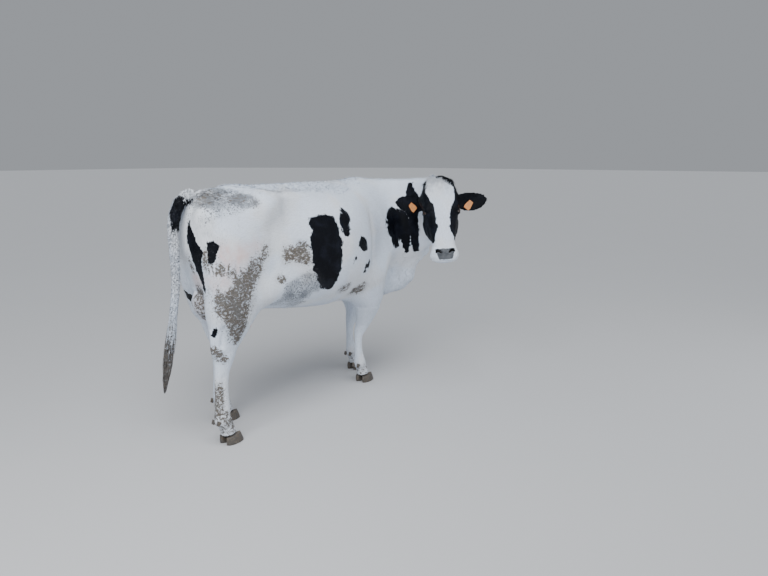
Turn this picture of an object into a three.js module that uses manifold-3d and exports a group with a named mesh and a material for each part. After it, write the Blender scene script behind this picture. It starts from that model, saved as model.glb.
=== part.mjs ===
// Dairy cow, life size, standing with the neck turned to its right.
// Millimetres, +Z up, +X towards the nose end of the trunk, +Y to the cow's left.
import * as THREE from 'three';
import { mergeVertices } from 'three/addons/utils/BufferGeometryUtils.js';
import Module from 'manifold-3d';

const wasm = await Module();
wasm.setup();

// ---------------------------------------------------------------- driving dimensions
const GAP = 0.4; // cut between neighbouring pieces
const SHELL_GAP = 2; // skins that touch without being cut from one another
const BODY_CELL = [78, 72, 68]; // grid of the trunk, neck and upper legs
const HEAD_CELL = 32; // grid of the head
const RELAX_PASSES = 6; // evening-out of the grids' corners
const LEG_SEGMENTS = 12;
const FORELEG_CUT = 585; // height where the lower foreleg starts
const HINDLEG_CUT = 690; // height where the lower hind leg starts

const HOOK = { x: -455, y: 248, z: 1378 }; // point of the hip
const PIN = { x: -852, y: 118, z: 1312 }; // point of the buttock
const SHOULDER = { x: 800, y: 190, z: 1010 };

// Trunk: x, y, height of the widest level, half width, rise to the back, drop to the belly
const TRUNK = [
  [-820, 0, 1235, 105, 198, 150],
  [-740, 0, 1215, 165, 232, 250],
  [-600, 0, 1190, 220, 250, 330],
  [-400, 0, 1140, 282, 322, 412],
  [-180, 0, 1085, 352, 374, 400],
  [60, 0, 1050, 392, 410, 396],
  [300, 0, 1045, 360, 408, 400],
  [500, 0, 1060, 292, 398, 430],
  [680, -8, 1070, 228, 370, 450],
  [830, -35, 1010, 175, 320, 412],
  [920, -70, 930, 120, 230, 330],
];

// Neck, curving to the cow's right: x, y, z, half width, rise to the crest, drop to the throat
const NECK = [
  [560, 0, 1150, 175, 305, 390],
  [750, -35, 1160, 155, 300, 400],
  [890, -150, 1185, 128, 285, 345],
  [945, -300, 1215, 110, 262, 275],
  [920, -450, 1250, 102, 240, 225],
  [840, -575, 1280, 98, 212, 195],
  [762, -640, 1298, 90, 190, 180],
];

// Legs: height, forward place, sideways place, half width, half depth
const HIND_RIGHT = [
  [1180, -632, -138, 112, 176],
  [1000, -656, -148, 124, 190],
  [880, -682, -158, 118, 186],
  [780, -708, -166, 100, 176],
  [700, -732, -170, 82, 160],
  [620, -762, -171, 60, 118],
  [560, -778, -171, 50, 90],
  [505, -784, -170, 45, 70],
  [430, -800, -170, 35, 50],
  [300, -806, -170, 33, 46],
  [168, -805, -170, 44, 52],
  [105, -782, -170, 41, 46],
  [20, -758, -170, 46, 50],
];
const FORE_RIGHT = [
  [840, 505, -205, 78, 140],
  [720, 520, -200, 84, 136],
  [640, 540, -185, 82, 126],
  [590, 550, -170, 76, 112],
  [530, 556, -146, 66, 94],
  [480, 556, -126, 57, 78],
  [440, 550, -112, 47, 60],
  [395, 532, -100, 34, 43],
  [330, 524, -97, 26, 33],
  [240, 528, -96, 27, 34],
  [160, 541, -95, 40, 47],
  [105, 562, -96, 37, 43],
  [20, 586, -98, 44, 48],
];
// The left legs stand further forward: shift of each level above
const HIND_LEFT_SHIFT = [10, 50, 95, 145, 182, 206, 220, 226, 228, 228, 228, 228, 228];
const HIND_LEFT_Y = [138, 148, 154, 158, 154, 144, 132, 125, 122, 120, 120, 120, 120];
const FORE_LEFT_SHIFT = [95, 175, 222, 240, 250, 232, 214, 202, 196, 194, 197, 198, 198];
const FORE_LEFT_Y = [205, 200, 190, 180, 172, 163, 156, 150, 147, 146, 145, 146, 148];

// Tail: x, y, z, half width, half depth in front, half depth behind
const TAIL = [
  [-800, 0, 1436, 44, 34, 40],
  [-886, 2, 1402, 40, 34, 34],
  [-938, 4, 1290, 34, 31, 31],
  [-942, 5, 1140, 29, 28, 28],
  [-942, 9, 960, 24, 24, 24],
  [-958, 20, 800, 21, 22, 22],
  [-972, 26, 705, 25, 27, 26],
  [-986, 36, 600, 36, 38, 36],
  [-1002, 46, 480, 31, 32, 30],
  [-1016, 53, 390, 18, 19, 18],
  [-1026, 56, 325, 6, 6, 6],
];

// Udder of a cow that is not in full milk
const UDDER = [
  [-800, 0, 860, 60, 60, 80],
  [-700, 0, 800, 112, 100, 120],
  [-560, 0, 775, 130, 110, 140],
  [-430, 0, 790, 118, 90, 108],
  [-310, 0, 800, 80, 60, 80],
];
const TEAT = { length: 55, radius: 13, x: [-640, -480], y: 62 };

// Head frame: placed between the eyes at the face; u to its left, v out of the face, w to the poll
const HEAD = { x: 612, y: -748, z: 1262, heading: -141, lean: 13, roll: 4 };
// Skull: u, v, w, half width, depth in front, depth behind
const SKULL = [
  [0, -80, 226, 94, 50, 62],
  [0, -86, 165, 120, 70, 84],
  [0, -90, 85, 124, 82, 98],
  [0, -90, 5, 117, 86, 100],
  [0, -84, -70, 99, 80, 90],
  [0, -76, -140, 83, 70, 72],
  [0, -68, -205, 78, 60, 60],
  [0, -64, -255, 87, 55, 58],
  [0, -66, -290, 84, 48, 54],
];
const JAW = [
  [0, -205, 20, 62, 70, 50],
  [0, -194, -55, 66, 74, 52],
  [0, -166, -135, 56, 56, 46],
  [0, -142, -205, 50, 46, 40],
  [0, -126, -268, 56, 38, 34],
  [0, -114, -292, 48, 30, 28],
];
const EYE = { u: 106, v: -52, w: 26, radius: 21 };
const EAR = {
  u: 108, v: -112, w: 102, length: 240, width: 58, thick: 9, cup: 14,
  back: { right: 32, left: 4 }, // degrees that each ear is turned back
  lift: { right: 7, left: -2 }, // degrees that it is raised
};

const CLAW = { length: 128, width: 53, top: 66, heel: 44, spread: 29 };
const DEWCLAW = { radius: 15, height: 26 };
const TAG = { width: 46, height: 74, thick: 2.4, stud: 4, button: 13, out: 124, turn: 42, tilt: 18 };

const COAT = { white: 0xd9dde3, black: 0x17181d, horn: 0x4a453e, tag: 0xe8843a, udder: 0xc9a9a4 };

// ---------------------------------------------------------------- smooth flesh as a field
const X_AXIS = new THREE.Vector3(1, 0, 0);
const Z_AXIS = new THREE.Vector3(0, 0, 1);
const FAR = 160; // beyond this distance a piece no longer blends

/** An oval section carried along a smooth curve; rows hold a place, a half width and two half depths. */
function sweep(rows, { over = Z_AXIS, power = 2, cap = 0.6, steps = 5 } = {}) {
  const path = new THREE.CatmullRomCurve3(rows.map((r) => new THREE.Vector3(r[0], r[1], r[2])));
  const size = new THREE.CatmullRomCurve3(rows.map((r) => new THREE.Vector3(r[3], r[4], r[5])));
  size.curveType = 'catmullrom';
  const count = (rows.length - 1) * steps;
  const knots = [];
  const bounds = new THREE.Box3();
  for (let i = 0; i <= count; i++) {
    const p = path.getPoint(i / count);
    const s = size.getPoint(i / count);
    const tangent = path.getTangent(i / count);
    const v = over.clone().addScaledVector(tangent, -over.dot(tangent)).normalize();
    const u = new THREE.Vector3().crossVectors(tangent, v);
    knots.push({ p, s, u, v, tangent });
    bounds.expandByPoint(p.clone().addScalar(Math.max(s.x, s.y, s.z)));
    bounds.expandByPoint(p.clone().subScalar(Math.max(s.x, s.y, s.z)));
  }
  const at = new THREE.Vector3();
  return (x, y, z) => {
    const away = bounds.distanceToPoint(at.set(x, y, z));
    if (away > FAR) return away;
    let best = Infinity;
    let index = 0;
    let share = 0;
    for (let i = 0; i < count; i++) {
      const a = knots[i].p;
      const b = knots[i + 1].p;
      const dx = b.x - a.x;
      const dy = b.y - a.y;
      const dz = b.z - a.z;
      let t = ((x - a.x) * dx + (y - a.y) * dy + (z - a.z) * dz) / (dx * dx + dy * dy + dz * dz);
      t = Math.min(1, Math.max(0, t));
      const ex = x - a.x - t * dx;
      const ey = y - a.y - t * dy;
      const ez = z - a.z - t * dz;
      const d = ex * ex + ey * ey + ez * ez;
      if (d < best) {
        best = d;
        index = i;
        share = t;
      }
    }
    const a = knots[index];
    const b = knots[index + 1];
    const mix = (m, n) => m + (n - m) * share;
    const qx = x - mix(a.p.x, b.p.x);
    const qy = y - mix(a.p.y, b.p.y);
    const qz = z - mix(a.p.z, b.p.z);
    const u = qx * mix(a.u.x, b.u.x) + qy * mix(a.u.y, b.u.y) + qz * mix(a.u.z, b.u.z);
    const v = qx * mix(a.v.x, b.v.x) + qy * mix(a.v.y, b.v.y) + qz * mix(a.v.z, b.v.z);
    const side = mix(a.s.x, b.s.x);
    const depth = v > 0 ? mix(a.s.y, b.s.y) : mix(a.s.z, b.s.z);
    let ratio = (Math.abs(u / side) ** power + Math.abs(v / depth) ** power) ** (1 / power);
    const r = Math.sqrt(qx * qx + qy * qy + qz * qz);
    const w = Math.sqrt(Math.max(0, r * r - u * u - v * v));
    ratio = Math.hypot(ratio, w / (cap * Math.min(side, depth)));
    if (ratio < 0.05) return -0.95 * Math.min(side, depth);
    return Math.max(r * (1 - 1 / ratio), -0.95 * Math.min(side, depth));
  };
}

/** An ellipsoid with its axes along the frame. */
function bump(cx, cy, cz, rx, ry, rz) {
  return (x, y, z) => {
    const dx = x - cx;
    const dy = y - cy;
    const dz = z - cz;
    const ratio = Math.hypot(dx / rx, dy / ry, dz / rz);
    if (ratio < 0.05) return -Math.min(rx, ry, rz);
    return Math.hypot(dx, dy, dz) * (1 - 1 / ratio);
  };
}

const blend = (a, b, k) => {
  const h = Math.max(k - Math.abs(a - b), 0) / k;
  return Math.min(a, b) - (h * h * k) / 4;
};
const carve = (a, b, k) => -blend(-a, b, k);

const SIDES = { right: -1, left: 1 };
const both = (make) => [make(-1), make(1)];

// The legs' rows turned into sweeps, front of the leg towards +X
const legSweep = (rows) => sweep(
  rows.map(([z, x, y, side, depth]) => [x, y, z, side, depth, depth]),
  { over: X_AXIS, power: 2.1 },
);
const shifted = (rows, dx, y) => rows.map((r, i) => [r[0], r[1] + dx[i], y[i], r[3], r[4]]);
const LEGS = {
  hindleg_right: { rows: HIND_RIGHT, cut: HINDLEG_CUT },
  hindleg_left: { rows: shifted(HIND_RIGHT, HIND_LEFT_SHIFT, HIND_LEFT_Y), cut: HINDLEG_CUT },
  foreleg_right: { rows: FORE_RIGHT, cut: FORELEG_CUT },
  foreleg_left: { rows: shifted(FORE_RIGHT, FORE_LEFT_SHIFT, FORE_LEFT_Y), cut: FORELEG_CUT },
};

// Head frame as a matrix: columns u, v, w
const rad = THREE.MathUtils.degToRad;
const headFrame = new THREE.Matrix4()
  .makeTranslation(HEAD.x, HEAD.y, HEAD.z)
  .multiply(new THREE.Matrix4().makeRotationZ(rad(HEAD.heading - 90)))
  .multiply(new THREE.Matrix4().makeRotationX(rad(HEAD.lean)))
  .multiply(new THREE.Matrix4().makeRotationY(rad(HEAD.roll)));
// u to the cow's left is the frame's -X once v is its +Y
const headPoint = (u, v, w) => new THREE.Vector3(-u, v, w).applyMatrix4(headFrame);
const headInverse = headFrame.clone().invert();
const inHead = (f) => {
  const p = new THREE.Vector3();
  return (x, y, z) => {
    p.set(x, y, z).applyMatrix4(headInverse);
    return f(-p.x, p.y, p.z);
  };
};

const V_AXIS = new THREE.Vector3(0, 1, 0);
const headParts = {
  skull: sweep(SKULL, { over: V_AXIS, power: 2.5, cap: 0.45 }),
  jaw: sweep(JAW, { over: V_AXIS, power: 2.3, cap: 0.5 }),
  cheeks: both((s) => sweep([
    [s * 74, -168, 40, 34, 54, 62],
    [s * 80, -155, -40, 40, 68, 66],
    [s * 66, -126, -130, 32, 48, 44],
  ], { over: V_AXIS })),
  brows: both((s) => bump(s * 94, -50, 44, 34, 38, 30)),
  lips: both((s) => bump(s * 48, -82, -262, 46, 52, 38)),
  nostrils: both((s) => bump(s * 42, -36, -256, 34, 26, 32)),
  poll: bump(0, -90, 226, 92, 48, 36),
  earRoots: both((s) => bump(s * 112, EAR.v, EAR.w + 14, 34, 34, 42)),
};
const headLocal = (u, v, w) => {
  let f = headParts.skull(u, v, w);
  f = blend(f, headParts.jaw(u, v, w), 42);
  for (const g of headParts.cheeks) f = blend(f, g(u, v, w), 30);
  for (const g of headParts.brows) f = blend(f, g(u, v, w), 26);
  for (const g of headParts.lips) f = blend(f, g(u, v, w), 24);
  for (const g of headParts.nostrils) f = blend(f, g(u, v, w), 22);
  f = blend(f, headParts.poll(u, v, w), 40);
  for (const g of headParts.earRoots) f = blend(f, g(u, v, w), 24);
  return f;
};
const headField = inHead(headLocal);

const trunkParts = {
  barrel: sweep(TRUNK, { power: 2.25, cap: 0.5 }),
  neck: sweep(NECK, { power: 2.15, cap: 0.4 }),
  hooks: both((s) => sweep([
    [HOOK.x - 60, s * 60, 1430, 55, 34, 40],
    [HOOK.x - 20, s * 165, 1416, 58, 34, 50],
    [HOOK.x, s * HOOK.y, HOOK.z, 55, 38, 55],
  ])),
  rumps: both((s) => sweep([
    [HOOK.x - 20, s * (HOOK.y - 40), HOOK.z - 50, 55, 44, 70],
    [-680, s * 168, 1330, 55, 50, 90],
    [PIN.x, s * PIN.y, PIN.z, 42, 40, 50],
  ])),
  loins: both((s) => sweep([
    [HOOK.x, s * 190, 1402, 42, 28, 34],
    [-250, s * 185, 1400, 42, 28, 34],
    [-60, s * 170, 1398, 42, 32, 40],
  ])),
  spine: sweep([
    [-888, 0, 1426, 46, 28, 60],
    [-830, 0, 1440, 46, 24, 50],
    [-740, 0, 1440, 44, 22, 44],
    [-600, 0, 1430, 46, 22, 40],
    [-300, 0, 1438, 50, 26, 40],
    [100, 0, 1440, 46, 26, 40],
    [450, 0, 1442, 50, 30, 60],
    [640, -10, 1445, 46, 26, 60],
  ]),
  blades: both((s) => sweep([
    [470, s * 120, 1372, 40, 80, 80],
    [590, s * 192, 1230, 52, 100, 110],
    [SHOULDER.x - 60, s * (SHOULDER.y + 12), 1080, 58, 90, 110],
    [SHOULDER.x - 20, s * SHOULDER.y, SHOULDER.z, 60, 66, 80],
  ], { over: X_AXIS })),
  arms: both((s) => sweep([
    [SHOULDER.x - 40, s * SHOULDER.y, SHOULDER.z - 10, 58, 80, 75],
    [640, s * 215, 930, 64, 105, 100],
    [505 + (s > 0 ? 105 : 0), s * 210, 830, 62, 85, 90],
  ])),
  brisket: sweep([
    [620, -12, 760, 105, 110, 135],
    [815, -50, 738, 98, 120, 145],
    [948, -120, 755, 70, 135, 150],
    [998, -222, 860, 40, 140, 138],
  ], { power: 2.1 }),
  dewlap: sweep([
    [996, -190, 864, 32, 120, 112],
    [1008, -315, 955, 27, 110, 86],
    [970, -445, 1040, 26, 80, 58],
  ]),
  seat: sweep([
    [-740, 0, 1290, 120, 80, 85],
    [-742, 0, 1100, 140, 80, 84],
    [-728, 20, 900, 110, 70, 70],
  ], { over: X_AXIS }),
  folds: both((s) => sweep([
    [-330 + (s > 0 ? 70 : 0), s * 235, 900, 60, 60, 95],
    [-500 + (s > 0 ? 70 : 0), s * 225, 840, 52, 70, 60],
  ])),
  crest: sweep([
    [600, 0, 1425, 44, 36, 60],
    [790, -60, 1432, 40, 38, 70],
    [915, -230, 1436, 38, 40, 80],
    [905, -430, 1444, 38, 42, 80],
    [815, -595, 1456, 44, 40, 60],
    [745, -645, 1462, 44, 36, 60],
  ]),
};
const legFields = Object.values(LEGS).map((leg) => legSweep(leg.rows));
const hollows = both((s) => bump(-262, s * 420, 1305, 120, 92, 105));

const bodyField = (x, y, z) => {
  const t = trunkParts;
  let f = t.barrel(x, y, z);
  for (const g of t.hooks) f = blend(f, g(x, y, z), 110);
  for (const g of t.rumps) f = blend(f, g(x, y, z), 130);
  for (const g of t.loins) f = blend(f, g(x, y, z), 60);
  for (const g of hollows) f = carve(f, g(x, y, z), 50);
  f = blend(f, t.spine(x, y, z), 60);
  for (const g of t.blades) f = blend(f, g(x, y, z), 55);
  for (const g of t.arms) f = blend(f, g(x, y, z), 60);
  f = blend(f, t.seat(x, y, z), 100);
  f = blend(f, t.neck(x, y, z), 110);
  f = blend(f, t.crest(x, y, z), 60);
  f = blend(f, t.brisket(x, y, z), 90);
  f = blend(f, t.dewlap(x, y, z), 60);
  for (const g of t.folds) f = blend(f, g(x, y, z), 70);
  for (const g of legFields) f = blend(f, g(x, y, z), 120);
  return blend(f, headField(x, y, z), 40);
};

// ---------------------------------------------------------------- turning fields into meshes
const STEP = 1.5;
const gradient = (f, p) => new THREE.Vector3(
  f(p.x + STEP, p.y, p.z) - f(p.x - STEP, p.y, p.z),
  f(p.x, p.y + STEP, p.z) - f(p.x, p.y - STEP, p.z),
  f(p.x, p.y, p.z + STEP) - f(p.x, p.y, p.z - STEP),
).divideScalar(2 * STEP);

function project(f, p, limit) {
  for (let i = 0; i < 4; i++) {
    const g = gradient(f, p);
    const move = -f(p.x, p.y, p.z) / Math.max(g.lengthSq(), 0.25);
    p.addScaledVector(g, THREE.MathUtils.clamp(move, -limit, limit));
  }
  return p;
}

function closedGeometry(points, faces) {
  const g = new THREE.BufferGeometry();
  g.setAttribute('position', new THREE.Float32BufferAttribute(points.flatMap((p) => [p.x, p.y, p.z]), 3));
  g.setIndex(faces);
  return g;
}

/** Skins a field inside a box with one corner per crossed grid cell, evened out and set on the surface. */
function skinField(f, box, cell) {
  const size = box.getSize(new THREE.Vector3());
  const n = [0, 1, 2].map((a) => Math.ceil(size.getComponent(a) / cell[a]) + 1);
  const place = (a, i) => box.min.getComponent(a) + (size.getComponent(a) * i) / (n[a] - 1);
  const id = (i, j, k) => (k * n[1] + j) * n[0] + i;
  const value = new Float64Array(n[0] * n[1] * n[2]);
  for (let k = 0; k < n[2]; k++) {
    for (let j = 0; j < n[1]; j++) {
      for (let i = 0; i < n[0]; i++) {
        const rim = i === 0 || j === 0 || k === 0 || i === n[0] - 1 || j === n[1] - 1 || k === n[2] - 1;
        value[id(i, j, k)] = rim ? 1e3 : f(place(0, i), place(1, j), place(2, k));
      }
    }
  }
  const corner = new Map();
  const points = [];
  const fixed = [];
  for (let k = 0; k < n[2] - 1; k++) {
    for (let j = 0; j < n[1] - 1; j++) {
      for (let i = 0; i < n[0] - 1; i++) {
        const sum = new THREE.Vector3();
        let hits = 0;
        for (let a = 0; a < 3; a++) {
          for (let e = 0; e < 4; e++) {
            const lo = [i, j, k];
            lo[(a + 1) % 3] += e & 1;
            lo[(a + 2) % 3] += e >> 1;
            const hi = [...lo];
            hi[a] += 1;
            const v0 = value[id(...lo)];
            const v1 = value[id(...hi)];
            if (v0 < 0 === v1 < 0) continue;
            const t = v0 / (v0 - v1);
            const at = [0, 1, 2].map((b) => place(b, lo[b]));
            at[a] += (place(a, hi[a]) - place(a, lo[a])) * t;
            sum.add(new THREE.Vector3(...at));
            hits += 1;
          }
        }
        if (!hits) continue;
        corner.set(id(i, j, k), points.length);
        points.push(sum.divideScalar(hits));
        fixed.push([i, j, k].some((c, a) => c === 0 || c === n[a] - 2));
      }
    }
  }
  const quads = [];
  for (let k = 1; k < n[2] - 1; k++) {
    for (let j = 1; j < n[1] - 1; j++) {
      for (let i = 1; i < n[0] - 1; i++) {
        for (let a = 0; a < 3; a++) {
          const next = [i, j, k];
          next[a] += 1;
          const v0 = value[id(i, j, k)] < 0;
          if (v0 === value[id(...next)] < 0) continue;
          const around = [[0, 0], [1, 0], [1, 1], [0, 1]].map(([b, c]) => {
            const cellAt = [i, j, k];
            cellAt[(a + 1) % 3] -= b;
            cellAt[(a + 2) % 3] -= c;
            return corner.get(id(...cellAt));
          });
          quads.push(v0 ? around : around.reverse());
        }
      }
    }
  }
  for (let a = 0; a < 3; a++) {
    const b = (a + 1) % 3;
    const c = (a + 2) % 3;
    for (let j = 1; j < n[b] - 1; j++) {
      for (let k = 1; k < n[c] - 1; k++) {
        const low = [0, 0, 0];
        low[b] = j;
        low[c] = k;
        const next = [...low];
        next[a] = 1;
        if (value[id(...next)] >= 0) continue;
        const around = [[0, 0], [1, 0], [1, 1], [0, 1]].map(([p, q]) => {
          const cellAt = [...low];
          cellAt[b] -= p;
          cellAt[c] -= q;
          return corner.get(id(...cellAt));
        });
        quads.push(around.reverse());
      }
    }
  }
  const near = points.map(() => new Set());
  for (const q of quads) {
    q.forEach((v, m) => {
      near[v].add(q[(m + 1) % 4]);
      near[v].add(q[(m + 3) % 4]);
    });
  }
  const limit = 0.4 * Math.min(...cell);
  for (let pass = 0; pass < RELAX_PASSES; pass++) {
    const moved = points.map((p, v) => {
      if (fixed[v]) return p;
      const mean = new THREE.Vector3();
      near[v].forEach((o) => mean.add(points[o]));
      mean.divideScalar(near[v].size);
      return project(f, p.clone().lerp(mean, 0.6), limit);
    });
    points.splice(0, points.length, ...moved);
  }
  const faces = [];
  for (const [a, b, c, d] of quads) {
    const split = points[a].distanceToSquared(points[c]) < points[b].distanceToSquared(points[d]);
    faces.push(...(split ? [a, b, c, a, c, d] : [a, b, d, b, c, d]));
  }
  return closedGeometry(points, faces);
}

/** Closes a stack of rings, each a list of points with the same count, into one solid. */
function stackRings(rings) {
  const m = rings[0].length;
  const points = rings.flat();
  const faces = [];
  for (let r = 0; r + 1 < rings.length; r++) {
    for (let s = 0; s < m; s++) {
      const a = r * m + s;
      const b = r * m + ((s + 1) % m);
      faces.push(a, b, a + m, b, b + m, a + m);
    }
  }
  const first = rings[0].reduce((sum, p) => sum.add(p), new THREE.Vector3()).divideScalar(m);
  const last = rings.at(-1).reduce((sum, p) => sum.add(p), new THREE.Vector3()).divideScalar(m);
  points.push(first, last);
  const end = (rings.length - 1) * m;
  for (let s = 0; s < m; s++) {
    const t = (s + 1) % m;
    faces.push(points.length - 2, t, s);
    faces.push(points.length - 1, end + s, end + t);
  }
  let volume = 0;
  for (let i = 0; i < faces.length; i += 3) {
    const [a, b, c] = faces.slice(i, i + 3).map((v) => points[v]);
    volume += a.dot(new THREE.Vector3().crossVectors(b, c));
  }
  return closedGeometry(points, volume > 0 ? faces : faces.reverse());
}

/** A ring of points where rays from a centre, in the plane of a and b, leave the field's flesh. */
function ringOnField(f, centre, a, b, segments, reach) {
  return Array.from({ length: segments }, (_, s) => {
    const angle = (2 * Math.PI * s) / segments;
    const dir = a.clone().multiplyScalar(Math.cos(angle)).addScaledVector(b, Math.sin(angle));
    const at = (r) => f(centre.x + dir.x * r, centre.y + dir.y * r, centre.z + dir.z * r);
    let low = 0;
    let high = 3;
    while (high < reach && at(high) < 0) {
      low = high;
      high += 4;
    }
    for (let i = 0; i < 16; i++) {
      const mid = (low + high) / 2;
      if (at(mid) < 0) low = mid;
      else high = mid;
    }
    return centre.clone().addScaledVector(dir, (low + high) / 2);
  });
}

/** The same corners moved outwards off the surface. */
function lifted(geometry, f, lift) {
  const g = geometry.clone();
  const at = g.attributes.position;
  for (let i = 0; i < at.count; i++) {
    const p = new THREE.Vector3().fromBufferAttribute(at, i);
    p.addScaledVector(gradient(f, p).normalize(), lift);
    at.setXYZ(i, p.x, p.y, p.z);
  }
  return g;
}

// ---------------------------------------------------------------- solids
function solidOf(geometry) {
  const g = geometry.clone();
  g.deleteAttribute('normal');
  g.deleteAttribute('uv');
  const merged = mergeVertices(g, 1e-3);
  const solid = new wasm.Manifold(new wasm.Mesh({
    numProp: 3,
    vertProperties: new Float32Array(merged.attributes.position.array),
    triVerts: new Uint32Array(merged.index.array),
  }));
  if (solid.volume() > 0) return solid;
  throw new Error('a piece is inside out or empty');
}

function geometryOf(solid) {
  const mesh = solid.getMesh();
  const g = new THREE.BufferGeometry();
  g.setAttribute('position', new THREE.BufferAttribute(new Float32Array(mesh.vertProperties), 3));
  g.setIndex(new THREE.BufferAttribute(new Uint32Array(mesh.triVerts), 1));
  return g;
}

/** A block for cutting: centre, size and a turn, grown by a margin on every side. */
function block([x, y, z], [sx, sy, sz], turn = [0, 0, 0], grow = 0) {
  const g = new THREE.BoxGeometry(sx + 2 * grow, sy + 2 * grow, sz + 2 * grow);
  g.applyMatrix4(new THREE.Matrix4().makeRotationFromEuler(new THREE.Euler(...turn.map(rad), 'ZYX')));
  g.translate(x, y, z);
  return solidOf(g);
}

const group = new THREE.Group();
const DEFAULT_ROUGHNESS = 0.85;
function place(name, geometry, color, roughness = DEFAULT_ROUGHNESS) {
  geometry.computeVertexNormals();
  const mesh = new THREE.Mesh(geometry, new THREE.MeshStandardMaterial({ color, roughness, metalness: 0 }));
  mesh.name = name;
  group.add(mesh);
}

// Trunk, neck and upper legs are skinned as one and then parted
const corner = (x, y, z) => new THREE.Vector3(x, y, z);
const bodyBox = new THREE.Box3(corner(-1080, -740, 520), corner(1160, 470, 1600));
const bodySkin = skinField(bodyField, bodyBox, BODY_CELL);
const body = solidOf(bodySkin);

/** A block whose one face passes through a point and that fills the side its normal shows. */
function beyond(point, normal, size, grow = 0) {
  const g = new THREE.BoxGeometry(size[0] + grow, size[1] + 2 * grow, size[2] + 2 * grow);
  g.translate((size[0] - grow) / 2, 0, 0);
  const n = normal.clone().normalize();
  const side = new THREE.Vector3().crossVectors(Z_AXIS, n).normalize();
  const up = new THREE.Vector3().crossVectors(n, side);
  g.applyMatrix4(new THREE.Matrix4().makeBasis(n, side, up).setPosition(point));
  return solidOf(g);
}

const headDirection = (u, v, w) => headPoint(u, v, w).sub(headPoint(0, 0, 0));
const CUTS = {
  head: { point: headPoint(0, -247, 2), normal: headDirection(0, 0.93, -0.37), size: [460, 520, 650] },
  neck: { point: corner(735, -40, 1150), normal: corner(0.94, -0.2, 0.3), size: [900, 2400, 2400] },
  thigh_right: { point: corner(-722, -150, 800), normal: corner(0, -0.6, -0.8), size: [420, 404, 700] },
  thigh_left: { point: corner(-602, 150, 800), normal: corner(0, 0.6, -0.8), size: [420, 404, 700] },
  forearm_right: { point: corner(545, -170, 740), normal: corner(0, -0.8, -0.6), size: [360, 360, 640] },
  forearm_left: { point: corner(745, 180, 740), normal: corner(0, 0.8, -0.6), size: [360, 360, 640] },
};
const cutter = (name, grow) => beyond(CUTS[name].point, CUTS[name].normal, CUTS[name].size, grow);
const under = (z, grow) => block([0, 0, z - 500], [4000, 3000, 1000], [0, 0, 0], grow);

const limbs = ['thigh_right', 'thigh_left', 'forearm_right', 'forearm_left'];
let trunk = body;
for (const name of ['head', 'neck', ...limbs]) trunk = trunk.subtract(cutter(name, GAP));
trunk = trunk.subtract(under(HINDLEG_CUT, 0).subtract(block([600, 0, 300], [1800, 3000, 2000])));
place('trunk', geometryOf(trunk), COAT.white);
place('neck', geometryOf(body.intersect(cutter('neck', 0)).subtract(cutter('head', GAP))), COAT.white);
for (const name of limbs) {
  const floor = name.startsWith('thigh') ? HINDLEG_CUT : FORELEG_CUT;
  const piece = body.intersect(cutter(name, 0)).subtract(under(floor, GAP));
  place(name, geometryOf(piece), COAT.white);
}

// Head with its eyes, ears and ear tags
const headBox = new THREE.Box3().setFromPoints([headPoint(0, -100, -40)]).expandByScalar(400);
const headSolid = solidOf(skinField(bodyField, headBox, [HEAD_CELL, HEAD_CELL, HEAD_CELL]));
const sphere = (p, r) => {
  const g = new THREE.SphereGeometry(r, 10, 7);
  g.translate(p.x, p.y, p.z);
  return solidOf(g);
};
let head = headSolid.intersect(cutter('head', 0));
for (const s of [-1, 1]) head = head.subtract(sphere(headPoint(s * EYE.u, EYE.v, EYE.w), EYE.radius + GAP));

/** A place on an ear: along it from the root, out of its front and up across it. */
function earPoint(side, along, out, up) {
  const s = SIDES[side];
  const turn = rad(EAR.back[side]);
  const u = EAR.u - 14 + along * Math.cos(turn) + out * Math.sin(turn);
  const raised = up + along * Math.tan(rad(EAR.lift[side]));
  return headPoint(s * u, EAR.v - along * Math.sin(turn) + out * Math.cos(turn), EAR.w + raised);
}

function earSolid(side, grow) {
  const rings = [];
  const steps = 11;
  const across = 5;
  for (let i = 0; i <= steps; i++) {
    const t = i / steps;
    const swell = 0.55 + 0.45 * Math.sin(Math.PI * (0.94 * t + 0.03));
    const half = EAR.width * swell * Math.sqrt(Math.max(0.02, 1 - t ** 5)) + grow;
    const bow = -22 * Math.sin(Math.PI * t * 0.7);
    const middle = 10 * t - 8 * Math.sin(Math.PI * t);
    const ring = [];
    for (let j = 0; j <= 2 * across - 1; j++) {
      const front = j < across;
      const c = front ? j / (across - 1) : (2 * across - 1 - j) / (across - 1);
      const q = 2 * c - 1;
      const fade = Math.sin(Math.PI * Math.min(1, t + 0.18));
      const hollow = -EAR.cup * fade * (1 - q * q);
      const skin = EAR.thick * (0.35 + 0.65 * Math.sqrt(Math.max(0, 1 - q * q))) * (1 - 0.5 * t) + grow;
      const out = bow + hollow + (front ? grow : -skin);
      ring.push(earPoint(side, EAR.length * t, out, middle + q * half));
    }
    rings.push(ring);
  }
  return solidOf(stackRings(rings));
}

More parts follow.
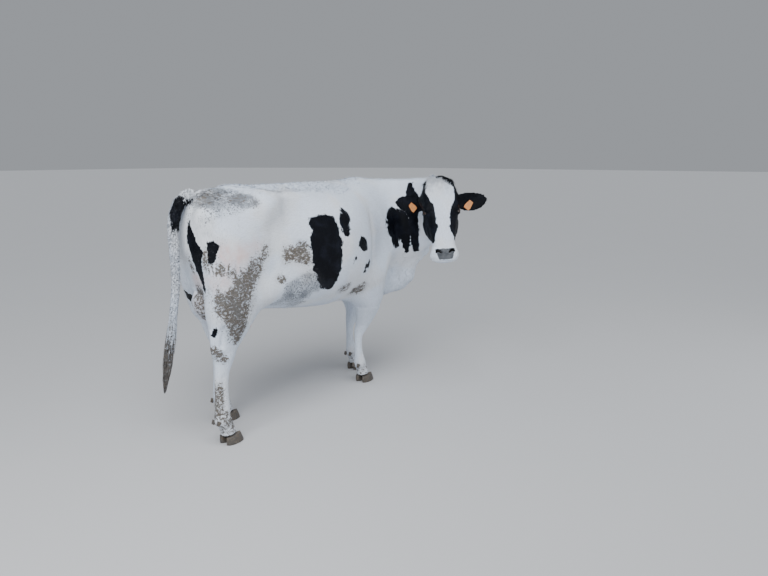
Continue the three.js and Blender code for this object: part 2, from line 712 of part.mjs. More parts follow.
function tagSolid(side, grow) {
  const { width, height, thick, stud, button, out, turn, tilt } = TAG;
  const s = SIDES[side];
  const shape = new THREE.Shape();
  shape.moveTo(-0.32 * width, 12);
  shape.lineTo(0.32 * width, 12);
  shape.lineTo(0.5 * width, -height * 0.55);
  shape.lineTo(0.42 * width, -height + 12);
  shape.lineTo(-0.42 * width, -height + 12);
  shape.lineTo(-0.5 * width, -height * 0.55);
  const plate = new THREE.ExtrudeGeometry(shape, { depth: thick + 2 * grow, bevelEnabled: false });
  plate.translate(0, 0, -grow - thick).rotateX(rad(tilt));
  const stem = new THREE.CylinderGeometry(stud + grow, stud + grow, 26, 10);
  stem.rotateX(Math.PI / 2).translate(0, 0, 11);
  const back = new THREE.CylinderGeometry(button + grow, button + grow, 3, 14);
  back.rotateX(Math.PI / 2).translate(0, 0, 25);
  const pose = new THREE.Matrix4().setPosition(earPoint(side, out, -26, -8))
    .multiply(new THREE.Matrix4().extractRotation(headFrame))
    .multiply(new THREE.Matrix4().makeRotationZ(rad(s * EAR.back[side])))
    .multiply(new THREE.Matrix4().makeRotationX(Math.PI / 2))
    .multiply(new THREE.Matrix4().makeRotationZ(rad(s * turn)));
  return [plate, stem, back].map((g) => solidOf(g.applyMatrix4(pose))).reduce((a, b) => a.add(b));
}

for (const [side, s] of Object.entries(SIDES)) {
  const eye = new THREE.SphereGeometry(EYE.radius, 10, 7);
  const at = headPoint(s * EYE.u, EYE.v, EYE.w);
  place(`eye_${side}`, eye.translate(at.x, at.y, at.z), COAT.black, 0.1);
  const ear = earSolid(side, 0).subtract(headSolid).subtract(tagSolid(side, GAP));
  place(`ear_${side}`, geometryOf(ear), COAT.black);
  head = head.subtract(earSolid(side, GAP));
  place(`tag_${side}`, geometryOf(tagSolid(side, 0)), COAT.tag, 0.45);
}
place('head', geometryOf(head), COAT.white);

// Lower legs, each with two claws and two dewclaws
const slope = (CLAW.top - CLAW.heel) / CLAW.length;
function lowerLeg(leg, grow) {
  const rows = leg.rows;
  const heights = [leg.cut - GAP, ...rows.map((r) => r[0]).filter((z) => z < leg.cut - 20 && z > 90)];
  const levels = [];
  heights.forEach((z, i) => {
    levels.push(z);
    const next = heights[i + 1];
    if (next && z - next > 60) levels.push((z + next) / 2);
  });
  levels.push((CLAW.top + CLAW.heel) / 2 + 22, (CLAW.top + CLAW.heel) / 2 + 4);
  const at = (z) => {
    const i = Math.max(1, rows.findIndex((r) => r[0] <= z));
    const [a, b] = [rows[i - 1], rows[i]];
    const t = (z - a[0]) / (b[0] - a[0]);
    return corner(a[1] + (b[1] - a[1]) * t, a[2] + (b[2] - a[2]) * t, z);
  };
  const own = legSweep(rows);
  const field = (x, y, z) => own(x, y, z) - grow;
  const flesh = (x, y, z) => bodyField(x, y, z) - grow;
  const rings = levels.map((z, i) => {
    const tilt = slope * Math.max(0, 1 - (levels.length - 1 - i) / 3);
    const a = corner(1, 0, tilt).normalize();
    return ringOnField(z > leg.cut - 90 ? flesh : field, at(z), a, corner(0, 1, 0), LEG_SEGMENTS, 260);
  });
  return stackRings(rings);
}

function clawGeometry(x, y, inner) {
  const { length, width, top, heel } = CLAW;
  const levels = [[0, 0.96, 0.95], [0.07, 1, 1], [0.5, 0.93, 0.96], [1, 0.8, 0.9]];
  const rings = levels.map(([level, long, wide]) => Array.from({ length: 10 }, (_, i) => {
    const angle = (2 * Math.PI * i) / 10;
    const c = Math.cos(angle);
    const forward = 0.5 * length * long * c;
    const sideways = 0.5 * width * wide * Math.sin(angle) * (1 - 0.28 * Math.max(0, c));
    const flat = Math.sign(sideways) === inner ? 0.86 : 1;
    const px = forward - 0.1 * length * level + 0.02 * length;
    const z = level * (heel + (top - heel) * (px / length + 0.5));
    return corner(x + px, y + sideways * flat, z);
  }));
  return stackRings(rings);
}

for (const [name, leg] of Object.entries(LEGS)) {
  const solid = solidOf(lowerLeg(leg, 0));
  const outer = solidOf(lowerLeg(leg, 1));
  place(name, geometryOf(solid), COAT.white);
  const foot = leg.rows.at(-1);
  const fetlock = leg.rows.at(-3);
  for (const s of [-1, 1]) {
    const part = s === Math.sign(foot[2]) ? 'outer' : 'inner';
    const claw = clawGeometry(foot[1] + 10, foot[2] + s * CLAW.spread, -s);
    place(`claw_${part}_${name}`, claw, COAT.horn, 0.6);
    const dew = new THREE.CylinderGeometry(DEWCLAW.radius, DEWCLAW.radius * 0.6, DEWCLAW.height, 6);
    dew.rotateX(Math.PI / 2).rotateY(rad(35));
    dew.translate(fetlock[1] - fetlock[4] + 2, fetlock[2] + s * 22, fetlock[0] - 22);
    place(`dewclaw_${part}_${name}`, geometryOf(solidOf(dew).subtract(outer)), COAT.horn, 0.6);
  }
}

// Tail, from the rump to the tip of the switch
const shell = solidOf(lifted(bodySkin, bodyField, SHELL_GAP));
const tailSweep = sweep(TAIL, { over: X_AXIS });
const tailPath = new THREE.CatmullRomCurve3(TAIL.map((r) => corner(r[0], r[1], r[2])));
const tailSteps = 20;
const tailRings = Array.from({ length: tailSteps + 1 }, (_, i) => {
  const t = 0.01 + (0.98 * i) / tailSteps;
  const b = corner(0, 1, 0);
  const a = new THREE.Vector3().crossVectors(b, tailPath.getTangent(t)).normalize();
  return ringOnField(tailSweep, tailPath.getPoint(t), a, b, 8, 120);
});
place('tail', geometryOf(solidOf(stackRings(tailRings)).subtract(shell)), COAT.white);

// Udder between the thighs, with four teats
const udderField = sweep(UDDER, { power: 2.1, cap: 0.6 });
const udderBox = new THREE.Box3(corner(-900, -240, 560), corner(-180, 240, 960));
let udder = solidOf(skinField(udderField, udderBox, [66, 64, 60])).subtract(shell);
for (const x of TEAT.x) {
  for (const s of [-1, 1]) {
    const teat = new THREE.CapsuleGeometry(TEAT.radius, TEAT.length, 2, 6);
    const low = udderBottom(x, s * TEAT.y);
    teat.rotateX(Math.PI / 2).translate(x, s * TEAT.y, low - TEAT.length / 2 + 12);
    udder = udder.add(solidOf(teat));
  }
}
place('udder', geometryOf(udder), COAT.udder);

function udderBottom(x, y) {
  let z = 560;
  while (udderField(x, y, z) > 0 && z < 900) z += 2;
  return z;
}

// The origin is the middle of the footprint, on the floor
const bounds = new THREE.Box3().setFromObject(group);
const centre = bounds.getCenter(new THREE.Vector3());
for (const mesh of group.children) mesh.geometry.translate(-centre.x, -centre.y, -bounds.min.z);

export default group;
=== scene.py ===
import math

import bmesh
import bpy
import numpy as np
from mathutils import Matrix, Vector
from mathutils.bvhtree import BVHTree


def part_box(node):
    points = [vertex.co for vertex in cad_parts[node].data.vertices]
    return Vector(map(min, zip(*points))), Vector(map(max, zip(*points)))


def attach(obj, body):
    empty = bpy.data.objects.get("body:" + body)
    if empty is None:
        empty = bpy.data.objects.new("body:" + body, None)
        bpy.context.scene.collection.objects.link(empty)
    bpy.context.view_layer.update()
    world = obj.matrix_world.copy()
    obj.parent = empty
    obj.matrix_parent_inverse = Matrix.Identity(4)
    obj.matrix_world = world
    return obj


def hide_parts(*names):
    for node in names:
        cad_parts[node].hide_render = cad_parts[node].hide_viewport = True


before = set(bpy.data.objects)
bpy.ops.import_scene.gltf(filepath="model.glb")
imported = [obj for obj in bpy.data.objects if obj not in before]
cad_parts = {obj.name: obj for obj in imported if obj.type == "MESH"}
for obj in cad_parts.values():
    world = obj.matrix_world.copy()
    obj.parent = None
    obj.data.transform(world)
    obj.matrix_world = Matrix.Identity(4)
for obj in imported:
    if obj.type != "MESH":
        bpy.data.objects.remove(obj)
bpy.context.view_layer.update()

bl_info = {
    "name": "Dairy Cow",
    "version": (1, 0, 0),
    "blender": (4, 5, 0),
    "location": "3D View > Sidebar > Cow",
    "description": "Dresses the packed cow: one skin, coat, eyes, claws and ear tags",
    "category": "Object",
}

SIDES = {"right": -1, "left": 1}
LEGS = ("foreleg_right", "foreleg_left", "hindleg_right", "hindleg_left")
BROAD = ("trunk", "neck", "thigh_right", "thigh_left", "forearm_right", "forearm_left")
LIMBS = ("head", *LEGS)
FINE = ("ear_right", "ear_left", "tail", "udder")
FLESH = (*BROAD, *LIMBS, *FINE)
SLOT_OF_COAT = "coat_white"


# ---------------------------------------------------------------- sizes and colours to change
class CowSkin(bpy.types.PropertyGroup):
    grid: bpy.props.FloatProperty(
        name="Grid", description="Mesh size that the flesh is joined with",
        default=0.006, min=0.004, max=0.02, unit="LENGTH")
    coat_depth: bpy.props.FloatProperty(
        name="Coat depth", description="How far the skin lies inside the solids",
        default=0.003, min=0.0, max=0.01, unit="LENGTH")
    body_evening: bpy.props.IntProperty(
        name="Body evening", description="Passes that even out trunk, neck and thighs", default=110, min=0)
    limb_evening: bpy.props.IntProperty(
        name="Limb evening", description="Passes that even out head and legs", default=18, min=0)
    fine_evening: bpy.props.IntProperty(
        name="Fine evening", description="Passes that even out ears, tail and udder", default=7, min=0)
    kept: bpy.props.FloatProperty(
        name="Kept faces", description="Share of the joined faces kept on the finished skin",
        default=0.30, min=0.1, max=1.0, subtype="FACTOR")


class CowCoat(bpy.types.PropertyGroup):
    white: bpy.props.FloatVectorProperty(
        name="White", description="White hair", default=(0.765, 0.84, 0.955), size=3, min=0, max=1,
        subtype="COLOR")
    black: bpy.props.FloatVectorProperty(
        name="Black", description="Black hair", default=(0.0028, 0.0036, 0.0062), size=3, min=0, max=1,
        subtype="COLOR")
    mud: bpy.props.FloatVectorProperty(
        name="Mud", description="Dried dung on the coat", default=(0.070, 0.055, 0.041), size=3, min=0,
        max=1, subtype="COLOR")
    pink: bpy.props.FloatVectorProperty(
        name="Skin", description="Skin where hair is thin", default=(0.70, 0.52, 0.50), size=3, min=0,
        max=1, subtype="COLOR")
    tuft: bpy.props.FloatProperty(
        name="Tuft length", description="Length of a short tuft", default=0.015, min=0.004, max=0.06,
        unit="LENGTH")
    number: bpy.props.IntProperty(
        name="Tufts", description="Short tufts over the whole body", default=64000, min=0)


class CowFittings(bpy.types.PropertyGroup):
    horn: bpy.props.FloatVectorProperty(
        name="Claw horn", description="Horn of claws and dewclaws", default=(0.085, 0.072, 0.058), size=3,
        min=0, max=1, subtype="COLOR")
    iris: bpy.props.FloatVectorProperty(
        name="Iris", description="Colour round the pupil", default=(0.018, 0.010, 0.007), size=3, min=0,
        max=1, subtype="COLOR")
    tag: bpy.props.FloatVectorProperty(
        name="Ear tag", description="Plastic of the ear tags", default=(0.66, 0.25, 0.07), size=3, min=0,
        max=1, subtype="COLOR")


class CowStage(bpy.types.PropertyGroup):
    floor: bpy.props.FloatVectorProperty(
        name="Floor", description="Colour of the floor", default=(0.56, 0.56, 0.57), size=3, min=0, max=1,
        subtype="COLOR")
    key: bpy.props.FloatProperty(
        name="Key light", description="Strength of the main light", default=140.0, min=0, unit="POWER")
    sky: bpy.props.FloatProperty(
        name="Sky panel", description="Strength of the broad light from above", default=1.95, min=0)
    fill: bpy.props.FloatProperty(
        name="Fill light", description="Strength of the light beside the camera", default=45.0, min=0,
        unit="POWER")


# ---------------------------------------------------------------- places taken from the frame
def middle(node):
    """Middle of a solid's box."""
    low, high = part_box(node)
    return (low + high) / 2


TRUNK_LOW, TRUNK_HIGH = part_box("trunk")
MIDLINE = (TRUNK_LOW.y + TRUNK_HIGH.y) / 2
HEAD_TURN = math.radians(-141)
HEAD_LEAN = math.radians(13)
HEAD_ROLL = math.radians(4)
EYE_BACK, EYE_UP = -0.052, 0.026
EYE_RADIUS = 0.021


def head_frame():
    """Origin and axes of the head: to the cow's left, out of the face, up to the poll."""
    turn = Matrix.Rotation(HEAD_TURN - math.pi / 2, 3, "Z")
    turn = turn @ Matrix.Rotation(HEAD_LEAN, 3, "X") @ Matrix.Rotation(HEAD_ROLL, 3, "Y")
    axes = np.array(turn @ Matrix.Diagonal((-1, 1, 1)))
    between = np.array((middle("eye_right") + middle("eye_left")) / 2)
    return between - axes @ np.array((0, EYE_BACK, EYE_UP)), axes


HEAD_AT, HEAD_AXES = head_frame()


def to_head(points):
    """Row frame to head frame."""
    return (np.asarray(points) - HEAD_AT) @ HEAD_AXES


def from_head(points):
    """Head frame to row frame."""
    return np.asarray(points) @ HEAD_AXES.T + HEAD_AT


def foot(leg):
    """Forward and sideways place of a leg's foot."""
    boxes = [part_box(f"claw_{side}_{leg}") for side in ("outer", "inner")]
    low = [min(b[0][i] for b in boxes) for i in range(2)]
    high = [max(b[1][i] for b in boxes) for i in range(2)]
    return np.array([(low[0] + high[0]) / 2, (low[1] + high[1]) / 2])


# ---------------------------------------------------------------- arrays and meshes
def points_of(mesh):
    co = np.empty(len(mesh.vertices) * 3)
    mesh.vertices.foreach_get("co", co)
    return co.reshape(-1, 3)


def normals_of(mesh):
    no = np.empty(len(mesh.vertices) * 3)
    mesh.vertex_normals.foreach_get("vector", no)
    return no.reshape(-1, 3)


def set_points(mesh, co):
    mesh.vertices.foreach_set("co", co.ravel())
    mesh.update()


def triangles_of(mesh):
    mesh.calc_loop_triangles()
    tri = np.empty(len(mesh.loop_triangles) * 3, np.int32)
    mesh.loop_triangles.foreach_get("vertices", tri)
    return tri.reshape(-1, 3)


def set_value(mesh, name, values):
    """Stores one number for each vertex."""
    layer = mesh.attributes.get(name) or mesh.attributes.new(name, "FLOAT", "POINT")
    layer.data.foreach_set("value", np.asarray(values, np.float32))


def unit(v):
    return v / np.maximum(np.linalg.norm(v, axis=-1, keepdims=True), 1e-9)


def along_skin(way, normal):
    """Directions turned to lie in the skin."""
    return unit(way - (way * normal).sum(1)[:, None] * normal)


def strayed(way, normal, amount, rng):
    """Directions along the skin, each off its lie by a random amount."""
    return along_skin(unit(way + amount * rng.normal(size=way.shape)), normal)


def rise(x, low, high):
    """0 below low, 1 above high, smooth between."""
    t = np.clip((x - low) / (high - low), 0, 1)
    return t * t * (3 - 2 * t)


def along_path(points, path):
    """Distance from points to a path, and how far along it the nearest place is, from 0 to 1."""
    path = np.asarray(path, float)
    best = np.full(len(points), np.inf)
    share = np.zeros(len(points))
    steps = len(path) - 1
    for i in range(steps):
        a, d = path[i], path[i + 1] - path[i]
        t = np.clip((points - a) @ d / max(d @ d, 1e-12), 0, 1)
        r = np.linalg.norm(points - a - t[:, None] * d, axis=1)
        near = r < best
        best[near] = r[near]
        share[near] = (i + t[near]) / steps
    return best, share


def strokes(points, nodes, squeeze=1):
    """Metres outside a run of round-ended strokes, negative inside. Nodes hold a place and a radius."""
    nodes = np.asarray(nodes, float)
    squeeze = np.asarray(squeeze, float)
    best = np.full(len(points), np.inf)
    if len(nodes) == 1:
        nodes = np.repeat(nodes, 2, 0)
    for a, b in zip(nodes[:-1], nodes[1:]):
        d = (b[:-1] - a[:-1]) * squeeze
        q = (points - a[:-1]) * squeeze
        t = np.clip(q @ d / max(d @ d, 1e-12), 0, 1)
        r = np.linalg.norm(q - t[:, None] * d, axis=1) - (a[-1] + (b[-1] - a[-1]) * t)
        best = np.minimum(best, r)
    return best


def link(mesh, name):
    obj = bpy.data.objects.new(name, mesh)
    bpy.context.scene.collection.objects.link(obj)
    return obj


def baked(obj):
    """The object's mesh with its modifiers applied."""
    shape = bpy.data.meshes.new_from_object(obj.evaluated_get(bpy.context.evaluated_depsgraph_get()))
    obj.modifiers.clear()
    old, obj.data = obj.data, shape
    bpy.data.meshes.remove(old)
    return shape


def merged_copy(bm, node, grow=0.0):
    """Adds a solid's mesh, closed up and grown by a margin."""
    part = bmesh.new()
    part.from_mesh(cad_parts[node].data)
    bmesh.ops.remove_doubles(part, verts=part.verts, dist=1e-5)
    part.normal_update()
    for v in part.verts:
        v.co += v.normal * grow
    shape = bpy.data.meshes.new(node)
    part.to_mesh(shape)
    part.free()
    bm.from_mesh(shape)
    bpy.data.meshes.remove(shape)


def dress(obj, material, slot, *nodes):
    """Gives a piece its material and body, and hides the solids that it stands for; slot is not used."""
    obj.data.materials.clear()
    obj.data.materials.append(material)
    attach(obj, "root")
    if nodes:
        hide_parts(*nodes)
    return obj


# ---------------------------------------------------------------- skin: form
class Evening:
    """Evens out values over a mesh's own edges."""

    def __init__(self, mesh):
        ends = np.empty(len(mesh.edges) * 2, np.int32)
        mesh.edges.foreach_get("vertices", ends)
        ends = ends.reshape(-1, 2)
        ends = np.concatenate([ends, ends[:, ::-1]])
        ends = ends[np.argsort(ends[:, 0], kind="stable")]
        self.near = ends[:, 1]
        self.start = np.searchsorted(ends[:, 0], np.arange(len(mesh.vertices)))
        self.count = np.diff(np.append(self.start, len(ends))).astype(float)

    def run(self, values, passes, share=0.6):
        values = values.copy()
        count = self.count[:, None] if values.ndim > 1 else self.count
        for _ in range(passes):
            values += share * (np.add.reduceat(values[self.near], self.start, axis=0) / count - values)
        return values

    def keeping_form(self, points, passes):
        """Evens out facets, and puts back the broad form that this would shrink."""
        first = self.run(points, passes)
        return first + self.run(points - first, passes)


def swell(co, no, at, radii, height):
    """A soft swelling round a place, or a hollow where height is negative."""
    away = (((co - np.asarray(at)) / np.asarray(radii)) ** 2).sum(1)
    co += no * (height * np.exp(-away))[:, None]


def ridge(co, no, path, width, height, fade=0.12):
    """A rounded ridge along a path, or a crease where height is negative."""
    away, share = along_path(co, path)
    ends = rise(share, 0, fade) * rise(1 - share, 0, fade)
    co += no * (height * ends * np.exp(-(away / width) ** 2))[:, None]


def spread_ears(co, own):
    """Broadens the ears towards a rounded tip."""
    q = to_head(co)
    for side, s in SIDES.items():
        ear = own == f"ear_{side}"
        out = s * q[:, 0]
        far = out[ear].max()
        along = np.clip((out - 0.11) / (far - 0.11), 0, 1)
        axis = np.polyfit(out[ear], q[ear, 2], 1)
        share = ear * rise(along, 0.0, 0.25) * (0.15 + 0.35 * rise(along, 0.55, 1.0))
        q[:, 2] += share * (q[:, 2] - np.polyval(axis, out))
    return from_head(q)


def body_forms(co, no):
    """Bones, ribs, muscle lines and folds of trunk, neck and thighs."""
    for s in (-1, 1):
        def at(x, y, z, s=s):
            return (x, MIDLINE + s * y, z)
        swell(co, no, at(-0.472, 0.25, 1.385), (0.06, 0.05, 0.045), 0.010)
        swell(co, no, at(-0.869, 0.12, 1.315), (0.045, 0.045, 0.045), 0.009)
        swell(co, no, at(-0.66, 0.19, 1.385), (0.11, 0.055, 0.06), -0.008)
        swell(co, no, at(-0.27, 0.33, 1.30), (0.10, 0.10, 0.075), -0.010)
        swell(co, no, at(-0.875, 0.055, 1.38), (0.04, 0.035, 0.06), -0.012)
        swell(co, no, at(0.783, 0.20, 1.01), (0.06, 0.07, 0.06), 0.008)
        swell(co, no, at(0.42, 0.23, 0.80), (0.06, 0.08, 0.05), 0.008)
        swell(co, no, at(0.60, 0.25, 0.92), (0.05, 0.12, 0.07), -0.007)
        ridge(co, no, [at(-0.45, 0.235, 1.40), at(-0.28, 0.235, 1.402), at(-0.10, 0.215, 1.405)],
              0.018, 0.005)
        ridge(co, no, [at(0.50, 0.14, 1.40), at(0.60, 0.24, 1.22), at(0.70, 0.26, 1.08)], 0.022, 0.006)
        ridge(co, no, [at(0.44, 0.14, 1.36), at(0.42, 0.30, 1.20), at(0.40, 0.32, 1.02),
                       at(0.40, 0.28, 0.88)], 0.03, -0.008)
        for k in range(6):
            x = -0.10 + 0.078 * k
            ridge(co, no, [at(x, 0.26, 1.36), at(x - 0.03, 0.38, 1.20), at(x - 0.04, 0.40, 1.02),
                           at(x + 0.02, 0.36, 0.84)], 0.021, 0.0032 - 0.0003 * k)
        ridge(co, no, [at(-0.865, 0.13, 1.26), at(-0.80, 0.20, 1.10), at(-0.76, 0.20, 0.95),
                       at(-0.76, 0.17, 0.80)], 0.026, -0.009)
        ridge(co, no, [at(-0.50, 0.25, 1.30), at(-0.48, 0.30, 1.12), at(-0.47, 0.27, 0.95)], 0.035, -0.006)
        swell(co, no, at(-0.50, 0.25, 0.90), (0.06, 0.08, 0.07), 0.009)
    for k in range(17):
        x = -0.60 + 0.062 * k
        swell(co, no, (x, MIDLINE, 1.47), (0.017, 0.02, 0.03), 0.0028)
    # folds where the neck is bent to the cow's right, and loose skin of throat and brisket
    for k, depth in enumerate((0.006, 0.008, 0.008, 0.006, 0.005)):
        x = 0.700 + 0.030 * k
        y = 0.030 - 0.045 * k
        ridge(co, no, [(x, y, 1.33), (x - 0.004, y - 0.005, 1.20), (x + 0.006, y, 1.06),
                       (x + 0.03, y + 0.01, 0.95)], 0.011, -depth, 0.3)
    for k in range(4):
        x = 0.93 - 0.055 * k
        y = 0.02 + 0.055 * k
        ridge(co, no, [(x + 0.02, y - 0.16, 0.92 - 0.05 * k), (x, y - 0.12, 0.80 - 0.03 * k),
                       (x - 0.05, y - 0.04, 0.70 - 0.01 * k)], 0.012, -0.006, 0.3)
    ridge(co, no, [(1.0, -0.12, 0.98), (1.0, -0.10, 0.91), (0.985, -0.08, 0.86)], 0.045, 0.013)
    ridge(co, no, [(0.98, -0.06, 0.81), (0.95, -0.03, 0.75)], 0.05, -0.007)
    ridge(co, no, [(0.60, -0.03, 1.28), (0.66, -0.035, 1.12), (0.70, -0.03, 0.98)], 0.03, -0.008)


def leg_forms(co, no):
    """Joints, tendons and coronets."""
    for leg in LEGS:
        fx, fy = foot(leg)
        s = -1 if "right" in leg else 1
        hind = leg.startswith("hind")

        def at(x, y, z):
            return (fx + x, fy + s * y, z)
        if hind:
            swell(co, no, at(-0.118, 0, 0.575), (0.03, 0.035, 0.05), 0.006)
            for side in (-1, 1):
                ridge(co, no, [at(-0.065, side * 0.05, 0.74), at(-0.075, side * 0.045, 0.64),
                               at(-0.085, side * 0.04, 0.57)], 0.016, -0.012, 0.25)
                swell(co, no, at(-0.02, side * 0.045, 0.515), (0.03, 0.02, 0.03), 0.004)
                ridge(co, no, [at(-0.068, side * 0.036, 0.44), at(-0.074, side * 0.034, 0.32),
                               at(-0.07, side * 0.036, 0.20)], 0.010, -0.005)
            swell(co, no, at(0.03, 0, 0.50), (0.03, 0.04, 0.04), 0.004)
            joint, axis = 0.168, -0.055
        else:
            swell(co, no, at(-0.03, 0, 0.40), (0.035, 0.04, 0.04), 0.006)
            for side in (-1, 1):
                ridge(co, no, [at(-0.067, side * 0.03, 0.34), at(-0.066, side * 0.029, 0.27),
                               at(-0.058, side * 0.032, 0.20)], 0.010, -0.005)
                swell(co, no, at(-0.05, side * 0.04, 0.405), (0.03, 0.02, 0.03), 0.004)
            joint, axis = 0.160, -0.045
        for side in (-1, 1):
            swell(co, no, at(axis, side * 0.045, joint), (0.03, 0.02, 0.028), 0.004)
        for side in ("outer", "inner"):
            claw = np.array(middle(f"dewclaw_{side}_{leg}"))
            inward = np.array((fx + axis, fy, claw[2])) - claw
            swell(co, no, claw + 0.45 * inward, (0.026, 0.022, 0.024), 0.011)
        ring = np.abs(co[:, 2] - 0.062)
        own = np.hypot(co[:, 0] - fx, co[:, 1] - fy) < 0.16
        co += no * (0.003 * np.exp(-(ring / 0.008) ** 2) * own)[:, None]


def udder_forms(co, no):
    """Cleft, teat bases and veins of the udder, and the milk veins along the belly."""
    low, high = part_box("udder")
    y = MIDLINE
    ridge(co, no, [(low.x + 0.05, y, 0.80), (-0.62, y, low.z + 0.06), (-0.45, y, low.z + 0.07),
                   (high.x - 0.04, y, 0.70)], 0.014, -0.012)
    for s in (-1, 1):
        ridge(co, no, [(-0.70, y + s * 0.09, 0.74), (-0.60, y + s * 0.10, 0.70), (-0.52, y + s * 0.10, 0.73),
                       (-0.42, y + s * 0.09, 0.70)], 0.005, 0.003)
        ridge(co, no, [(-0.40, y + s * 0.13, 0.715), (-0.30, y + s * 0.15, 0.692),
                       (-0.18, y + s * 0.135, 0.675), (-0.06, y + s * 0.155, 0.672),
                       (0.06, y + s * 0.14, 0.672), (0.20, y + s * 0.13, 0.67)], 0.009, 0.006)


def head_forms(co, no):
    """Bones, veins and fleshy parts of the face."""
    q = to_head(co)
    own = rise(-q[:, 1], -0.2, -0.1) * (q[:, 1] > -0.3)

    def mark(path, width, height, fade=0.2):
        away, share = along_path(q, path)
        ends = rise(share, 0, fade) * rise(1 - share, 0, fade)
        co[:] += no * (own * height * ends * np.exp(-(away / width) ** 2))[:, None]
    for s in (-1, 1):
        mark([(s * 0.098, -0.075, -0.02), (s * 0.090, -0.085, -0.09), (s * 0.078, -0.09, -0.15)],
             0.012, 0.004)
        mark([(s * 0.088, -0.03, 0.00), (s * 0.075, -0.02, -0.06), (s * 0.068, -0.03, -0.12)], 0.012, -0.003)
        mark([(s * 0.085, -0.06, -0.06), (s * 0.079, -0.075, -0.12), (s * 0.075, -0.06, -0.18)],
             0.0045, 0.0022)
        mark([(s * 0.095, -0.02, 0.075), (s * 0.075, -0.012, 0.055), (s * 0.07, -0.012, 0.02)], 0.010, -0.003)
        mark([(s * 0.11, -0.14, 0.03), (s * 0.118, -0.17, -0.03), (s * 0.10, -0.19, -0.10)], 0.015, -0.004)
        mark([(s * 0.080, -0.09, -0.19), (s * 0.088, -0.10, -0.235), (s * 0.085, -0.10, -0.285)],
             0.045, 0.006, 0.1)
        mark([(s * 0.105, -0.13, -0.02), (s * 0.098, -0.14, -0.12)], 0.05, 0.005, 0.1)
    mark([(-0.075, -0.08, 0.25), (-0.02, -0.08, 0.262)], 0.045, 0.013, 0.1)


# ---------------------------------------------------------------- skin: local detail
def eye_axes(s):
    """Middle of an eye, then its outward, forward and upward directions."""
    side = "left" if s > 0 else "right"
    at = np.array(middle(f"eye_{side}"))
    out = unit(HEAD_AXES @ np.array((s * 0.94, 0.33, 0.03)))
    ahead = unit(np.cross(HEAD_AXES[:, 2], out) * s)
    up = unit(np.cross(out, ahead) * s)
    if up @ HEAD_AXES[:, 2] < 0:
        up = -up
    if ahead @ HEAD_AXES[:, 1] < 0:
        ahead = -ahead
    tilt = math.radians(-14)
    ahead, up = ahead * math.cos(tilt) + up * math.sin(tilt), up * math.cos(tilt) - ahead * math.sin(tilt)
    return at, out, ahead, up


LID_LENGTH, LID_HEIGHT = 0.0205, 0.0118


def lid_gap(h, k):
    """Metres outside the opening between the lids, negative inside."""
    top = LID_HEIGHT * (1 - (h / LID_LENGTH) ** 2)
    inside = np.abs(k) - np.where(k > 0, top, top * 0.85)
    outside = np.hypot(np.maximum(np.abs(h) - LID_LENGTH, 0), k)
    return np.where(np.abs(h) < LID_LENGTH, inside, outside)


def shape_lids(co):
    """Opens the lids over the eyeballs."""
    for s in (-1, 1):
        at, out, ahead, up = eye_axes(s)
        q = co - at
        r = np.linalg.norm(q, axis=1)
        near = (r < 0.06) & (q @ out > -0.004)
        a = q[near]
        dist = r[near]
        h, k = a @ ahead, a @ up
        gap = lid_gap(h, k)
        rim = EYE_RADIUS + 0.0028 + 0.0012 * np.exp(-((gap - 0.002) / 0.0022) ** 2)
        rim = rim - 0.0018 * np.exp(-((gap - 0.0085) / 0.0020) ** 2) * (k > -0.004)
        rim = rim + 0.0022 * np.exp(-((gap - 0.014) / 0.005) ** 2)
        blend = rise(gap, 0.009, 0.022)
        lid = rim * (1 - blend) + np.maximum(dist, rim) * blend
        inner = EYE_RADIUS - 0.0045
        share = rise(gap, -0.0010, 0.0012)
        co[near] = at + a / dist[:, None] * (inner + (lid - inner) * share)[:, None]


NOSTRIL = ((0.028, -0.247), (0.041, -0.236), (0.053, -0.234), (0.060, -0.242))
MOUTH = ((-0.078, -0.135, -0.232), (-0.084, -0.105, -0.262), (-0.072, -0.065, -0.288),
         (-0.04, -0.035, -0.298),
         (0.0, -0.028, -0.300), (0.04, -0.035, -0.298), (0.072, -0.065, -0.288), (0.084, -0.105, -0.262),
         (0.078, -0.135, -0.232))


def nostril_gap(q, s):
    """Metres outside a nostril, seen from in front."""
    path = [(s * u, 0, w) for u, w in NOSTRIL]
    flat = q * (1, 0, 1)
    away, share = along_path(flat, path)
    return away - (0.0062 + 0.0034 * np.sin(np.pi * share))


def shape_muzzle(co, no):
    """Sinks the nostrils and draws the line of the mouth."""
    q = to_head(co)
    front = rise(q[:, 1], -0.065, -0.035) * (q[:, 2] < -0.19)
    move = np.zeros_like(q)
    for s in (-1, 1):
        gap = nostril_gap(q, s)
        depth = rise(-gap, -0.0025, 0.006) * front
        move += depth[:, None] * np.array((-s * 0.004, -0.026, 0.006))
        rim = np.exp(-((gap - 0.006) / 0.004) ** 2) * front
        move[:, 1] += 0.0025 * rim
    away, share = along_path(q, MOUTH)
    groove = np.exp(-(away / 0.0038) ** 2) * rise(share, 0, 0.06) * rise(1 - share, 0, 0.06)
    lip = np.exp(-((away - 0.009) / 0.005) ** 2)
    away, share = along_path(q, [(0, 0.0, -0.235), (0, 0.0, -0.262), (0, -0.01, -0.292)])
    cleft = np.exp(-(away / 0.003) ** 2)
    co += move @ HEAD_AXES.T + no * (-0.006 * groove + 0.0018 * lip - 0.002 * cleft)[:, None]


def finer(bm, near, cuts):
    """Splits the edges of all faces near a place."""
    faces = [f for f in bm.faces if near(f.calc_center_median())]
    edges = list({e for f in faces for e in f.edges})
    bmesh.ops.subdivide_edges(bm, edges=edges, cuts=cuts, use_grid_fill=True)


class Skin:
    """The finished skin and what the coat pieces need to know about it."""


SKIN = Skin()


